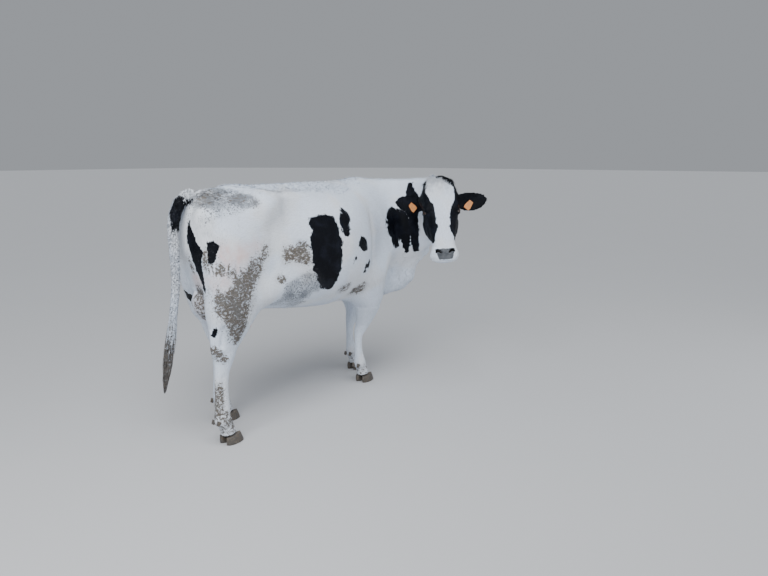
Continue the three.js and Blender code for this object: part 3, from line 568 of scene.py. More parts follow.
def joined_flesh(grid):
    """Flesh and eyeballs as one mesh, with a tree and a list that tell whose each place is."""
    bm = bmesh.new()
    owner = []
    for name in FLESH:
        grow = 0.003 if name.startswith("ear") else 0.002 if name in FINE else 0.001
        merged_copy(bm, name, grow)
        owner += [name] * (len(bm.faces) - len(owner))
    for side in SIDES:
        bmesh.ops.create_uvsphere(bm, u_segments=24, v_segments=16, radius=EYE_RADIUS + 0.0015,
                                  matrix=Matrix.Translation(middle(f"eye_{side}")))
        owner += ["head"] * (len(bm.faces) - len(owner))
    mesh = bpy.data.meshes.new("cow_skin")
    bm.to_mesh(mesh)
    tree = BVHTree.FromBMesh(bm)
    bm.free()
    obj = link(mesh, "cow_skin")
    join = obj.modifiers.new("Join", "REMESH")
    join.mode = "VOXEL"
    join.voxel_size = grid
    return obj, baked(obj), tree, owner


def owners(co, tree, owner):
    """Which solid each point belongs to."""
    index = [tree.find_nearest(Vector(p))[2] for p in co]
    return np.array([owner[i] for i in index])


def make_skin(sizes):
    """Joins the flesh into one skin, evens it out, gives it its forms and marks it up."""
    grid = sizes.grid
    scale = (0.006 / grid) ** 2
    obj, mesh, tree, owner = joined_flesh(grid)
    co = points_of(mesh)
    own = owners(co, tree, owner)
    evening = Evening(mesh)
    broad = evening.run(np.isin(own, BROAD).astype(float), int(60 * scale))
    fine = evening.run(np.isin(own, FINE).astype(float), int(16 * scale) + 2)
    body = evening.keeping_form(co, int(sizes.body_evening * scale))
    limb = evening.keeping_form(co, int(sizes.limb_evening * scale))
    least = evening.keeping_form(co, int(sizes.fine_evening * scale))
    corner = np.exp(-(((co - (-0.86, MIDLINE, 1.43)) / (0.10, 0.10, 0.09)) ** 2).sum(1))
    share = (rise(broad, 0.35, 0.9) * (1 - np.clip(1.3 * corner, 0, 1)))[:, None]
    co = limb + (body - limb) * share
    co += (least - co) * rise(fine, 0.3, 0.8)[:, None]
    set_points(mesh, co)
    no = normals_of(mesh)
    co -= no * sizes.coat_depth
    switch = rise(0.76 - co[:, 2], 0, 0.1) * (own == "tail")
    co -= no * (0.010 * evening.run(switch, 6))[:, None]
    body_forms(co, no)
    leg_forms(co, no)
    udder_forms(co, no)
    head_forms(co, no)
    co = spread_ears(co, own)
    set_points(mesh, co)

    # flat areas get fewer faces, face and feet keep theirs
    group = obj.vertex_groups.new(name="broad")
    for level in range(1, 6):
        chosen = np.nonzero(np.clip(np.round(broad * 5), 0, 5) == level)[0]
        group.add(chosen.tolist(), level / 5, "REPLACE")
    thin = obj.modifiers.new("Thin", "DECIMATE")
    thin.ratio = sizes.kept
    thin.vertex_group = "broad"
    thin.vertex_group_factor = 1.0
    mesh = baked(obj)

    bm = bmesh.new()
    bm.from_mesh(mesh)
    bmesh.ops.triangulate(bm, faces=[f for f in bm.faces if len(f.verts) > 3])
    eyes = [Vector(eye_axes(s)[0]) for s in (-1, 1)]
    muzzle = Vector(from_head((0, -0.04, -0.262)))
    cuts = 2
    finer(bm, lambda c: any((c - e).length < 0.044 for e in eyes), cuts)
    finer(bm, lambda c: (c - muzzle).length < 0.088, cuts)
    bmesh.ops.triangulate(bm, faces=[f for f in bm.faces if len(f.verts) > 3])
    bm.to_mesh(mesh)
    bm.free()
    co = points_of(mesh)
    shape_muzzle(co, normals_of(mesh))
    shape_lids(co)
    set_points(mesh, co)
    mesh.shade_smooth()
    SKIN.object, SKIN.mesh = obj, mesh
    SKIN.own = owners(points_of(mesh), tree, owner)
    SKIN.points = points_of(mesh)
    SKIN.normals = normals_of(mesh)
    SKIN.faces = triangles_of(mesh)
    mark_up(mesh, SKIN.points, SKIN.own)
    print("skin", len(mesh.vertices), "points", len(SKIN.faces), "faces")
    return obj


# ---------------------------------------------------------------- markings, dirt and painted shade
# Charts that patches are placed on: the right side, the rear, and the near side of the bent neck
NECK_AT = middle("neck")
ACROSS_NECK = math.radians(-60)
NECK_LINE = np.array((math.cos(ACROSS_NECK), math.sin(ACROSS_NECK), 0))
RIGHT_LIMIT = MIDLINE - 0.05
REAR_LIMIT = TRUNK_LOW.x + 0.25
STRETCH = 0.6  # patches are longer along the body than they are high


def side_chart(p):
    """Forward place and height."""
    return p[:, (0, 2)]


def rear_chart(p):
    """Sideways place from the midline and height."""
    return np.stack([p[:, 1] - MIDLINE, p[:, 2]], 1)


def neck_chart(p):
    """Place from the shoulder towards the head, and height."""
    return np.stack([(p - np.array(NECK_AT)) @ NECK_LINE, p[:, 2]], 1)


# Black patches, in whole centimetres: runs of (place, height, half width)
BARREL = (
    ((-0.18, 1.25, 0.03), (-0.08, 1.25, 0.04), (-0.10, 1.12, 0.06), (-0.10, 1.00, 0.06), (-0.08, 0.90, 0.04),
     (-0.06, 0.83, 0.02)),
    ((-0.15, 1.23, 0.03), (-0.19, 1.12, 0.03), (-0.17, 0.97, 0.03), (-0.10, 0.86, 0.03)),
)
SHOULDER_PATCHES = (
    ((0.08, 1.32, 0.01), (0.07, 1.25, 0.03), (0.05, 1.16, 0.02)),
    ((0.22, 1.13, 0.01), (0.23, 1.08, 0.04), (0.27, 1.04, 0.02)),
    ((0.13, 1.00, 0.01), (0.13, 0.97, 0.01)),
    ((0.33, 0.95, 0.01), (0.31, 0.92, 0.02), (0.29, 0.88, 0.01)),
)
THIGH_PATCHES = (
    ((-0.05, 1.29, 0.01), (-0.06, 1.20, 0.03), (-0.08, 1.12, 0.04), (-0.08, 1.03, 0.03), (-0.13, 0.91, 0.01)),
    ((-0.16, 1.16, 0.02), (-0.18, 1.16, 0.02), (-0.17, 1.08, 0.02)),
    ((-0.20, 0.70, 0.01), (-0.19, 0.66, 0.01)),
    ((0.15, 0.84, 0.03), (0.07, 0.80, 0.03)),
)
TAIL_PATCH = ((-0.01, 1.41, 0.02), (-0.02, 1.35, 0.03), (-0.02, 1.26, 0.01))
NECK_FINGERS = {"rear": (-0.03, 1.24, 1.00), "middle": (0.04, 1.22, 0.94), "front": (0.11, 1.34, 0.88)}
FINGER_WIDTH = 0.04
FINGER_LEAN = 0.03  # how far the tip of a finger lies ahead of its top
NECK_BAND = ((0.09, 1.44, 0.02), (0.09, 1.38, 0.04), (0.14, 1.30, 0.05))
# Black patches of the hidden left side, guessed: runs of (x, y, z, radius)
LEFT_SIDE = (
    ((0.55, 0.50, 1.38, 0.10), (0.62, 0.55, 1.15, 0.15), (0.66, 0.52, 0.95, 0.09)),
    ((0.10, 0.55, 1.36, 0.13), (0.05, 0.64, 1.12, 0.19), (-0.05, 0.64, 0.92, 0.12)),
    ((-0.50, 0.50, 1.34, 0.08), (-0.62, 0.46, 1.20, 0.11), (-0.66, 0.44, 1.02, 0.06)),
    ((0.42, 0.55, 1.18, 0.05), (0.55, 0.55, 1.22, 0.08)),
    ((0.72, 0.52, 0.90, 0.04), (0.70, 0.50, 0.80, 0.02)),
    ((0.24, 0.60, 1.30, 0.05), (0.30, 0.58, 1.22, 0.03)),
    ((-0.20, 0.62, 1.22, 0.06), (-0.10, 0.64, 1.16, 0.10)),
    ((-0.16, 0.60, 0.86, 0.06), (-0.22, 0.56, 0.80, 0.03)),
    ((0.20, 0.58, 0.88, 0.03), (0.24, 0.56, 0.82, 0.012)),
    ((-0.70, 0.44, 1.30, 0.05), (-0.78, 0.42, 1.26, 0.03)),
    ((0.98, 0.10, 1.20, 0.06), (1.02, -0.06, 1.24, 0.09), (1.02, -0.16, 1.18, 0.10),
     (0.97, -0.34, 1.26, 0.11)),
)
# White blaze: height on the face, its edge on the cow's right and on its left
BLAZE = (
    (0.26, -0.08, -0.02), (0.19, -0.09, 0.09), (0.16, -0.10, 0.10), (0.08, -0.06, 0.08), (0.00, -0.05, 0.05),
    (-0.08, -0.04, 0.04), (-0.16, -0.06, 0.07), (-0.22, -0.10, 0.10), (-0.25, -0.17, 0.15),
)


def black_distance(p, own):
    """Metres outside the black hair, negative inside."""
    d = np.full(len(p), 1.0)
    right = p[:, 1] < RIGHT_LIMIT
    for run in (*BARREL, *SHOULDER_PATCHES):
        d = np.where(right, np.minimum(d, strokes(side_chart(p), run, (STRETCH, 1))), d)
    rear = p[:, 0] < REAR_LIMIT
    for run in THIGH_PATCHES:
        d = np.where(rear, np.minimum(d, strokes(rear_chart(p), run)), d)
    d = np.where(own == "tail", np.minimum(d, strokes(rear_chart(p), TAIL_PATCH)), d)
    neck = neck_chart(p)
    near = (np.array(NECK_AT) - p) @ np.array((-NECK_LINE[1], NECK_LINE[0], 0)) > 0
    near &= np.isin(own, ("neck", "trunk"))
    for along, top, tip in NECK_FINGERS.values():
        run = ((along, top, FINGER_WIDTH), (along + FINGER_LEAN / 2, (top + tip) / 2, FINGER_WIDTH),
               (along + FINGER_LEAN, tip, FINGER_WIDTH / 3))
        d = np.where(near, np.minimum(d, strokes(neck, run)), d)
    d = np.where(near, np.minimum(d, strokes(neck, NECK_BAND)), d)
    for run in LEFT_SIDE:
        d = np.minimum(d, strokes(p, run))
    q = to_head(p)
    table = np.array(BLAZE)[::-1]
    right = np.interp(q[:, 2], table[:, 0], table[:, 1])
    left = np.interp(q[:, 2], table[:, 0], table[:, 2])
    blaze = np.minimum(q[:, 0] - right, left - q[:, 0])
    blaze = np.where(q[:, 1] < -0.10, np.minimum(blaze, q[:, 1] + 0.12), blaze)
    jaw = q[:, 1] + 0.245 - 0.4 * np.clip(-0.03 - q[:, 2], 0, 1)
    head = np.maximum(np.maximum(-jaw, blaze), -(q[:, 2] + 0.222))
    d = np.where(own == "head", head, d)
    ears = np.isin(own, ("ear_right", "ear_left"))
    return np.where(ears, -0.03, d)


# Stains, and painted shade under the belly, in whole centimetres: strength, then runs of (forward place,
# height, radius)
CAKED = {
    "thigh": (0.9, ((-0.53, 1.11, 0.03), (-0.63, 1.03, 0.07), (-0.73, 0.90, 0.08))),
    "gaskin": (0.85, ((-0.84, 0.93, 0.04), (-0.83, 0.80, 0.05))),
    "stifle": (0.95, ((-0.73, 0.90, 0.08), (-0.76, 0.80, 0.09), (-0.75, 0.70, 0.07), (-0.75, 0.62, 0.03))),
    "buttock": (0.95, ((-0.83, 1.09, 0.06), (-0.80, 1.02, 0.07))),
    "flank": (0.95, ((-0.38, 1.07, 0.05), (-0.30, 1.08, 0.07), (-0.24, 1.03, 0.05))),
    "oval": (1.0, ((-0.46, 0.93, 0.02), (-0.43, 0.93, 0.03))),
    "elbow": (0.8, ((0.06, 0.80, 0.03), (0.12, 0.80, 0.04))),
    "forearm": (0.8, ((0.23, 0.75, 0.03), (0.32, 0.76, 0.05))),
    "hock": (0.8, ((-0.88, 0.58, 0.03), (-0.83, 0.52, 0.03))),
    "cannon": (0.7, ((-0.86, 0.35, 0.04), (-0.86, 0.20, 0.04), (-0.78, 0.14, 0.06))),
    "rump": (0.55, ((-0.82, 1.42, 0.05), (-0.70, 1.43, 0.07), (-0.60, 1.40, 0.03))),
}
FILMED_AND_SHADED = {
    "rump": (1.0, ((-0.84, 1.40, 0.04), (-0.72, 1.42, 0.07), (-0.60, 1.40, 0.05))),
    "pin": (0.7, ((-0.86, 1.31, 0.04), (-0.78, 1.36, 0.06), (-0.68, 1.35, 0.03))),
    # belly and under are painted shade: a grey film over the underside of the belly
    "belly": (0.85, ((-0.37, 0.86, 0.06), (-0.22, 0.88, 0.10), (-0.14, 0.84, 0.04))),
    "under": (0.75, ((-0.40, 0.79, 0.05), (-0.22, 0.76, 0.06))),
    "thigh": (0.7, ((-0.58, 1.14, 0.05), (-0.70, 1.00, 0.09), (-0.75, 0.85, 0.14), (-0.76, 0.66, 0.08))),
    "buttock": (0.6, ((-0.80, 1.18, 0.04), (-0.84, 1.10, 0.06))),
    "cannon": (0.6, ((-0.85, 0.38, 0.04), (-0.85, 0.26, 0.05))),
}
RUBBED = {
    "thigh": (0.8, ((-0.78, 1.11, 0.06), (-0.73, 1.07, 0.06))),
    "above": (0.5, ((-0.70, 1.13, 0.05), (-0.62, 1.12, 0.05))),
    "back": (0.6, ((-0.83, 0.96, 0.05),)),
}
# The left side is hidden, so its stains are guessed
FAR_CAKED = {
    "gaskin": (0.75, ((-0.68, 0.90, 0.09), (-0.60, 0.72, 0.10), (-0.62, 0.56, 0.09))),
    "pastern": (0.7, ((-0.61, 0.20, 0.12),)),
    "foreleg": (0.6, ((0.53, 0.12, 0.07), (0.73, 0.12, 0.08))),
}
STAIN_EDGE = 0.025
NEAR_LIMIT, FAR_LIMIT = -0.03, 0.16  # metres from the midline at which each side's stains begin


def stains_and_shade(p, zones, side, limit):
    """Soft stains, and painted shade, on one side of the body: 1 in the middle of a strong one, 0 where
    clean.
    """
    clean = np.ones(len(p))
    for strength, run in zones.values():
        away = strokes(side_chart(p), run)
        clean *= 1 - strength * (1 - rise(away, -STAIN_EDGE, STAIN_EDGE))
    return (1 - clean) * rise(side * (p[:, 1] - MIDLINE), limit, limit + 0.04)


def mark_up(mesh, p, own):
    """Stores the markings, dirt, painted shade and hair lie for the materials."""
    q = to_head(p)
    head = (own == "head").astype(float)
    tail = own == "tail"
    udder = own == "udder"
    ears = np.isin(own, ("ear_right", "ear_left"))
    legs = np.isin(own, LEGS)
    pink = stains_and_shade(p, RUBBED, -1, NEAR_LIMIT)
    pink = np.where(udder, 0.25 + 0.75 * rise(0.72 - p[:, 2], 0, 0.07), pink)
    mud = np.maximum(stains_and_shade(p, CAKED, -1, NEAR_LIMIT), stains_and_shade(p, FAR_CAKED, 1, FAR_LIMIT))
    mud *= 1 - np.clip(pink, 0, 1)
    mud = np.where(tail, 0.22 + 1.3 * rise(0.81 - p[:, 2], 0, 0.13), mud)
    mud = np.where(legs, np.maximum(mud, 0.15 + 0.4 * rise(0.22 - p[:, 2], 0, 0.12)), mud)
    # grey film and flecks grow towards the bottom of the body; the belly zones add painted shade
    grime_and_shade = np.maximum(stains_and_shade(p, FILMED_AND_SHADED, -1, NEAR_LIMIT), 0.10 + 0.25 * rise(0.9 - p[:, 2], 0, 0.3))
    grime_and_shade = np.where(tail, 0.6, grime_and_shade) * (1 - 0.8 * np.clip(pink, 0, 1))
    grime_and_shade = np.where(head + ears > 0, 0.04, grime_and_shade)
    front = (q[:, 1] > -0.075) & (head > 0)
    down = np.clip((-0.222 - q[:, 2]) / 0.07, 0, 1)
    pad = np.maximum(np.abs(q[:, 0]) - (0.060 - 0.024 * down), 0)
    pad = np.hypot(pad, np.maximum(np.maximum(q[:, 2] + 0.229, -0.284 - q[:, 2]), 0)) - 0.008
    hole = np.minimum(nostril_gap(q, -1), nostril_gap(q, 1))
    pad = np.where(front, np.minimum(pad, hole - 0.001), 0.05)
    # painted shade: inside the nostrils the lid value turns small, so the coat paints the holes dark
    lid = np.where(front, np.minimum(hole + 0.006, 0.05), 0.05)
    for s in (-1, 1):
        at, out, ahead, up = eye_axes(s)
        a = p - at
        near = np.linalg.norm(a, axis=1) < 0.05
        lid[near] = lid_gap(a[near] @ ahead, a[near] @ up)
    black = black_distance(p, own)
    mud = np.where(tail, mud, mud * rise(black, -0.02, 0.02))
    set_value(mesh, "black", black)
    set_value(mesh, "mud", mud)
    set_value(mesh, "grime_and_shade", grime_and_shade)
    set_value(mesh, "pink", pink)
    set_value(mesh, "pad", pad)
    set_value(mesh, "lid", lid)
    down = np.clip(rise(0.95 - p[:, 2], 0, 0.15) + rise(-0.72 - p[:, 0], 0, 0.08), 0, 1)
    set_value(mesh, "downward", np.where(head + ears > 0, 0, np.maximum(down, tail)))
    set_value(mesh, "face", head)
    bare = np.where(udder, 0.8, 0.0) + np.exp(-np.maximum(pad, 0) / 0.01)
    set_value(mesh, "bare", np.clip(bare, 0, 1))


# ---------------------------------------------------------------- material nodes
class Tree:
    """Short ways to place and join nodes."""

    def __init__(self, tree):
        self.tree = tree

    def add(self, kind, **values):
        node = self.tree.nodes.new(kind)
        for key, value in values.items():
            setattr(node, key, value)
        return node

    def join(self, source, target):
        self.tree.links.new(source, target)

    def feed(self, socket, value):
        if isinstance(value, bpy.types.NodeSocket):
            self.join(value, socket)
        elif value is not None:
            socket.default_value = value

    def calc(self, operation, a, b=None, clamp=False):
        node = self.add("ShaderNodeMath", operation=operation, use_clamp=clamp)
        self.feed(node.inputs[0], a)
        self.feed(node.inputs[1], b)
        return node.outputs[0]

    def step(self, value, low, high, to_low=0.0, to_high=1.0):
        node = self.add("ShaderNodeMapRange", interpolation_type="SMOOTHSTEP")
        for socket, v in zip(node.inputs, (value, low, high, to_low, to_high)):
            self.feed(socket, v)
        return node.outputs[0]

    def mix(self, share, a, b, blend="MIX"):
        node = self.add("ShaderNodeMix", data_type="RGBA", blend_type=blend)
        self.feed(node.inputs[0], share)
        self.feed(node.inputs[6], a)
        self.feed(node.inputs[7], b)
        return node.outputs[2]

    def between(self, share, a, b):
        node = self.add("ShaderNodeMix", data_type="FLOAT")
        self.feed(node.inputs[0], share)
        self.feed(node.inputs[2], a)
        self.feed(node.inputs[3], b)
        return node.outputs[0]

    def noise(self, vector, scale, detail=2.0, rough=0.5, colour=False):
        node = self.add("ShaderNodeTexNoise")
        self.feed(node.inputs["Vector"], vector)
        self.feed(node.inputs["Scale"], scale)
        node.inputs["Detail"].default_value = detail
        node.inputs["Roughness"].default_value = rough
        return node.outputs[1 if colour else 0]

    def place(self, vector, scale=(1, 1, 1), turn=(0, 0, 0)):
        node = self.add("ShaderNodeMapping")
        self.feed(node.inputs["Vector"], vector)
        node.inputs["Scale"].default_value = scale
        node.inputs["Rotation"].default_value = turn
        return node.outputs[0]

    def read(self, name):
        return self.add("ShaderNodeAttribute", attribute_name=name).outputs["Fac"]


def new_group(name, inputs, outputs):
    group = bpy.data.node_groups.new(name, "ShaderNodeTree")
    for title, kind, default in inputs:
        socket = group.interface.new_socket(title, in_out="INPUT", socket_type=kind)
        if default is not None:
            socket.default_value = default
    for title, kind in outputs:
        group.interface.new_socket(title, in_out="OUTPUT", socket_type=kind)
    t = Tree(group)
    return t, t.add("NodeGroupInput").outputs, t.add("NodeGroupOutput").inputs


def marking_group():
    """Black and white hair with an edge that runs in and out by hair lengths."""
    t, i, o = new_group("Hair markings", [
        ("Vector", "NodeSocketVector", None), ("Distance", "NodeSocketFloat", 0.0),
        ("White", "NodeSocketColor", (0.7, 0.7, 0.7, 1)), ("Black", "NodeSocketColor", (0.01, 0.01, 0.01, 1)),
    ], [("Colour", "NodeSocketColor"), ("Mask", "NodeSocketFloat")])
    wander = t.calc("MULTIPLY", t.calc("SUBTRACT", t.noise(i["Vector"], 22, 3), 0.5), 0.036)
    strands = t.noise(t.place(i["Vector"], (1, 1, 0.30)), 170, 2)
    ragged = t.calc("MULTIPLY", t.calc("SUBTRACT", strands, 0.5), 0.024)
    edge = t.calc("ADD", i["Distance"], t.calc("ADD", wander, ragged))
    mask = t.step(edge, -0.0016, 0.0016, 1.0, 0.0)
    broad = t.noise(i["Vector"], 5, 3)
    warm = t.step(t.noise(i["Vector"], 3.2, 2), 0.46, 0.62, 0.0, 0.7)
    white = t.mix(t.step(broad, 0.3, 0.75), i["White"], t.mix(0.35, i["White"], (0.61, 0.66, 0.74, 1)))
    white = t.mix(warm, white, (0.79, 0.805, 0.83, 1))
    black = t.mix(t.step(t.noise(i["Vector"], 16, 3), 0.45, 0.8), i["Black"], (0.009, 0.011, 0.019, 1))
    t.join(t.mix(mask, white, black), o["Colour"])
    t.join(mask, o["Mask"])
    return t.tree


def warped(t, vector, scale, amount):
    """A vector shifted by soft noise, so that a pattern doesn't run straight."""
    node = t.add("ShaderNodeVectorMath", operation="MULTIPLY_ADD")
    t.join(t.noise(vector, scale, 2, colour=True), node.inputs[0])
    node.inputs[1].default_value = (amount, amount, amount)
    t.join(vector, node.inputs[2])
    return node.outputs[0]


def hair_group():
    """Height of flat-lying hair: fine strands along the lie, gathered in clumps."""
    t, i, o = new_group("Hair lie", [
        ("Vector", "NodeSocketVector", None), ("Downward", "NodeSocketFloat", 0.0),
        ("Face", "NodeSocketFloat", 0.0), ("Fineness", "NodeSocketFloat", 1.0),
    ], [("Height", "NodeSocketFloat"), ("Shade", "NodeSocketFloat")])
    bent = warped(t, i["Vector"], 7, 0.05)
    along = (1.0, 7.0, 7.0)
    heights = []
    for scale in (75, 26):
        back = t.noise(t.place(bent, along, (0, math.radians(-16), 0)), scale, 3, 0.6)
        down = t.noise(t.place(bent, (7.0, 7.0, 1.0)), scale, 3, 0.6)
        turned = t.place(bent, (1, 1, 1), (0, 0, math.pi / 2 - HEAD_TURN))
        face = t.noise(t.place(turned, (7.5, 5, 1.6)), scale, 3, 0.6)
        heights.append(t.between(i["Face"], t.between(i["Downward"], back, down), face))
    both = t.between(0.42, heights[0], heights[1])
    t.join(both, o["Height"])
    t.join(t.step(both, 0.3, 0.7, 0.84, 1.10), o["Shade"])
    return t.tree


def dirt_and_shade_group():
    """Dried dung: caked smears that crack into a marbled pattern, spatter, and a thin film; film and spatter
    also carry the painted shade under the belly.
    """
    t, i, o = new_group("Barn dirt and shade", [
        ("Vector", "NodeSocketVector", None), ("Mud", "NodeSocketFloat", 0.0),
        ("Grime", "NodeSocketFloat", 0.0), ("Colour", "NodeSocketColor", (0.1, 0.07, 0.04, 1)),
    ], [("Mask", "NodeSocketFloat"), ("Colour", "NodeSocketColor"), ("Height", "NodeSocketFloat")])
    bent = warped(t, i["Vector"], 18, 0.045)
    cloud = t.noise(i["Vector"], 11, 4, 0.6)
    marble = t.noise(t.place(bent, (1, 1, 1.5)), 58, 4, 0.7)
    fine = t.noise(bent, 120, 3, 0.6)
    lump = t.calc("ADD", t.calc("MULTIPLY", cloud, 0.2), t.calc("MULTIPLY", marble, 0.8))
    lump = t.calc("ADD", lump, t.calc("MULTIPLY", t.calc("SUBTRACT", fine, 0.5), 0.2))
    need = t.step(i["Mud"], 0.0, 1.0, 0.68, 0.41)
    smear = t.step(t.calc("SUBTRACT", lump, need), -0.03, 0.06)
    smear = t.calc("MULTIPLY", smear, t.step(i["Mud"], 0.05, 0.25))
    smear = t.calc("MAXIMUM", smear, t.step(i["Mud"], 1.05, 1.4, 0.0, 0.88))
    spatter = t.noise(t.place(bent, (1, 1, 1.3)), 105, 2, 0.5)
    limit = t.step(i["Grime"], 0.0, 1.0, 0.76, 0.50)
    flecks = t.calc("MULTIPLY", t.step(t.calc("SUBTRACT", spatter, limit), 0.0, 0.05), 0.85)
    thick = t.calc("MULTIPLY", t.calc("POWER", i["Grime"], 3.0), 0.85)
    # the grey veil is dirt, and painted shade where the belly zones feed it
    veil_and_shade = t.calc("MULTIPLY", t.step(cloud, 0.32, 0.60, 0.20, 1.0), thick)
    film = t.calc("MULTIPLY", i["Mud"], t.step(fine, 0.35, 0.6, 0.10, 0.45))
    mask = t.calc("MAXIMUM", t.calc("MAXIMUM", smear, flecks), t.calc("MAXIMUM", veil_and_shade, film))
    tone = t.mix(t.step(fine, 0.38, 0.66), i["Colour"], (0.145, 0.12, 0.092, 1))
    tone = t.mix(t.step(cloud, 0.48, 0.68, 0, 0.6), tone, (0.12, 0.115, 0.105, 1))
    grey = t.mix(t.step(smear, 0.0, 0.5), (0.060, 0.062, 0.070, 1), tone)
    t.join(t.calc("MULTIPLY", mask, 0.94), o["Mask"])
    t.join(grey, o["Colour"])
    t.join(t.calc("MULTIPLY", smear, fine), o["Height"])
    return t.tree


GROUPS = {}


def placed(t, name, **values):
    """A shared node group, made once and placed with its own values."""
    makers = {"Hair markings": marking_group, "Hair lie": hair_group, "Barn dirt and shade": dirt_and_shade_group}
    if name not in GROUPS:
        GROUPS[name] = makers[name]()
    node = t.add("ShaderNodeGroup", node_tree=GROUPS[name])
    for key, value in values.items():
        t.feed(node.inputs[key], value)
    return node.outputs


def plain_material(name, roughness=0.5, **constants):
    material = bpy.data.materials.new(name)
    material.use_nodes = True
    t = Tree(material.node_tree)
    shader = next(n for n in t.tree.nodes if n.type == "BSDF_PRINCIPLED")
    shader.inputs["Roughness"].default_value = roughness
    for key, value in constants.items():
        shader.inputs[key.replace("_", " ")].default_value = value
    where = t.add("ShaderNodeTexCoord").outputs["Object"]
    return material, t, shader, where


def rgba(colour):
    return (*colour, 1)


def bump(t, shader, height, distance, strength=1.0):
    node = t.add("ShaderNodeBump")
    node.inputs["Distance"].default_value = distance
    node.inputs["Strength"].default_value = strength
    t.join(height, node.inputs["Height"])
    t.join(node.outputs[0], shader.inputs["Normal"])


def coat_material(name, tufts):
    """Skin with short hair, or the tufts over it: both read the same markings."""
    coat = bpy.context.scene.cow_coat
    material, t, shader, where = plain_material(name, 0.62, Specular_IOR_Level=0.09)
    hair = placed(t, "Hair lie", Vector=where, Downward=t.read("downward"), Face=t.read("face"))
    marks = placed(t, "Hair markings", Vector=where, Distance=t.read("black"), White=rgba(coat.white),
                   Black=rgba(coat.black))
    dirt = placed(t, "Barn dirt and shade", Vector=where, Mud=t.read("mud"), Grime=t.read("grime_and_shade"),
                  Colour=rgba(coat.mud))
    colour = t.mix(1.0, marks["Colour"], hair["Shade"], "MULTIPLY")
    flush = t.mix(t.step(t.noise(where, 30, 3), 0.3, 0.7), rgba(coat.pink), (0.74, 0.66, 0.66, 1))
    thin = t.calc("MULTIPLY", t.read("pink"), t.calc("SUBTRACT", 1.0, marks["Mask"]))
    colour = t.mix(thin, colour, flush)
    holding = t.step(marks["Mask"], 0, 1, 1.0, 0.4)
    # the dirt mask holds real dirt and the painted shade under the belly
    colour = t.mix(t.calc("MULTIPLY", dirt["Mask"], holding), colour, dirt["Colour"])
    rough = t.step(marks["Mask"], 0.0, 1.0, 0.70, 0.40)
    if tufts:
        tip = t.read("tip")
        # painted shade: each tuft a little darker towards its root
        colour = t.mix(t.step(tip, 0.0, 1.0, 0.06, 0.0), colour, t.mix(0.35, colour, (0.02, 0.02, 0.022, 1)))
        t.join(colour, shader.inputs["Base Color"])
        t.join(rough, shader.inputs["Roughness"])
        bump(t, shader, hair["Height"], 0.002, 0.6)
        return material
    uneven = t.calc("MULTIPLY", t.calc("SUBTRACT", t.noise(where, 70, 2), 0.5), 0.010)
    pad = t.calc("ADD", t.read("pad"), uneven)
    pad = t.step(pad, -0.002, 0.003, 1.0, 0.0)
    slate = t.mix(t.step(t.noise(where, 40, 3), 0.3, 0.7), (0.105, 0.112, 0.125, 1), (0.17, 0.18, 0.195, 1))
    colour = t.mix(pad, colour, slate)
    # dark lid margins round the eyes; inside the nostrils the same dark is painted shade
    lid = t.step(t.read("lid"), 0.0015, 0.006, 1.0, 0.0)
    colour = t.mix(lid, colour, (0.016, 0.014, 0.014, 1))
    wet = t.calc("MAXIMUM", pad, lid)
    pores = t.add("ShaderNodeTexVoronoi", feature="DISTANCE_TO_EDGE")
    t.join(where, pores.inputs["Vector"])
    pores.inputs["Scale"].default_value = 230
    pebble = t.step(pores.outputs["Distance"], 0.0, 0.14)
    t.join(colour, shader.inputs["Base Color"])
    t.join(t.between(wet, rough, 0.27), shader.inputs["Roughness"])
    bare = t.read("bare")
    hairy = t.calc("MULTIPLY", hair["Height"], t.calc("SUBTRACT", 1.0, t.calc("MULTIPLY", bare, 0.85)))
    height = t.calc("ADD", hairy, t.calc("MULTIPLY", pebble, t.calc("MULTIPLY", pad, 0.42)))
    height = t.calc("ADD", height, t.calc("MULTIPLY", dirt["Height"], 0.7))
    bump(t, shader, height, 0.0035, 0.85)
    return material


# ---------------------------------------------------------------- coat pieces
TRAIL = np.array([(0.728, -0.394), (0.798, -0.344), (0.888, -0.179), (0.898, 0.021), (0.773, 0.191),
                  (0.583, 0.251), (0.0, 0.251), (-0.95, 0.251)])


def lie_of(p, n, own):
    """The way that the hair lies: back from the poll to the tail, down the legs, off the face."""
    best = np.full(len(p), np.inf)
    way = np.zeros((len(p), 3))
    for a, b in zip(TRAIL[:-1], TRAIL[1:]):
        d = b - a
        t = np.clip((p[:, :2] - a) @ d / (d @ d), 0, 1)
        r = np.linalg.norm(p[:, :2] - a - t[:, None] * d, axis=1)
        near = r < best
        best[near] = r[near]
        way[near, :2] = d / np.linalg.norm(d)
    way[:, 2] = -0.35
    down = np.clip(rise(0.92 - p[:, 2], 0, 0.2) + rise(-0.74 - p[:, 0], 0, 0.1), 0, 1)
    down = np.where(np.isin(own, ("udder", "head")), 0, down)
    way += down[:, None] * (np.array((0.15, 0, -1.0)) - way) * 0.9
    way[own == "tail"] = (0, 0, -1)
    q = to_head(p)
    face = own == "head"
    upward = np.tanh((q[:, 2] - 0.02) / 0.05)
    side = rise(np.abs(q[:, 0]), 0.03, 0.1)
    lift = upward * (1 - 0.45 * side) - 0.3 * side
    local = np.stack([np.sign(q[:, 0]) * 0.25, -0.25 - 0.6 * side, lift], 1)
    way[face] = (local @ HEAD_AXES.T)[face]
    for side_name, s in SIDES.items():
        ear = own == f"ear_{side_name}"
        along = HEAD_AXES @ np.array((s * 0.85, -0.45 if s < 0 else -0.1, 0.05))
        way[ear] = along
    return along_skin(way, n)


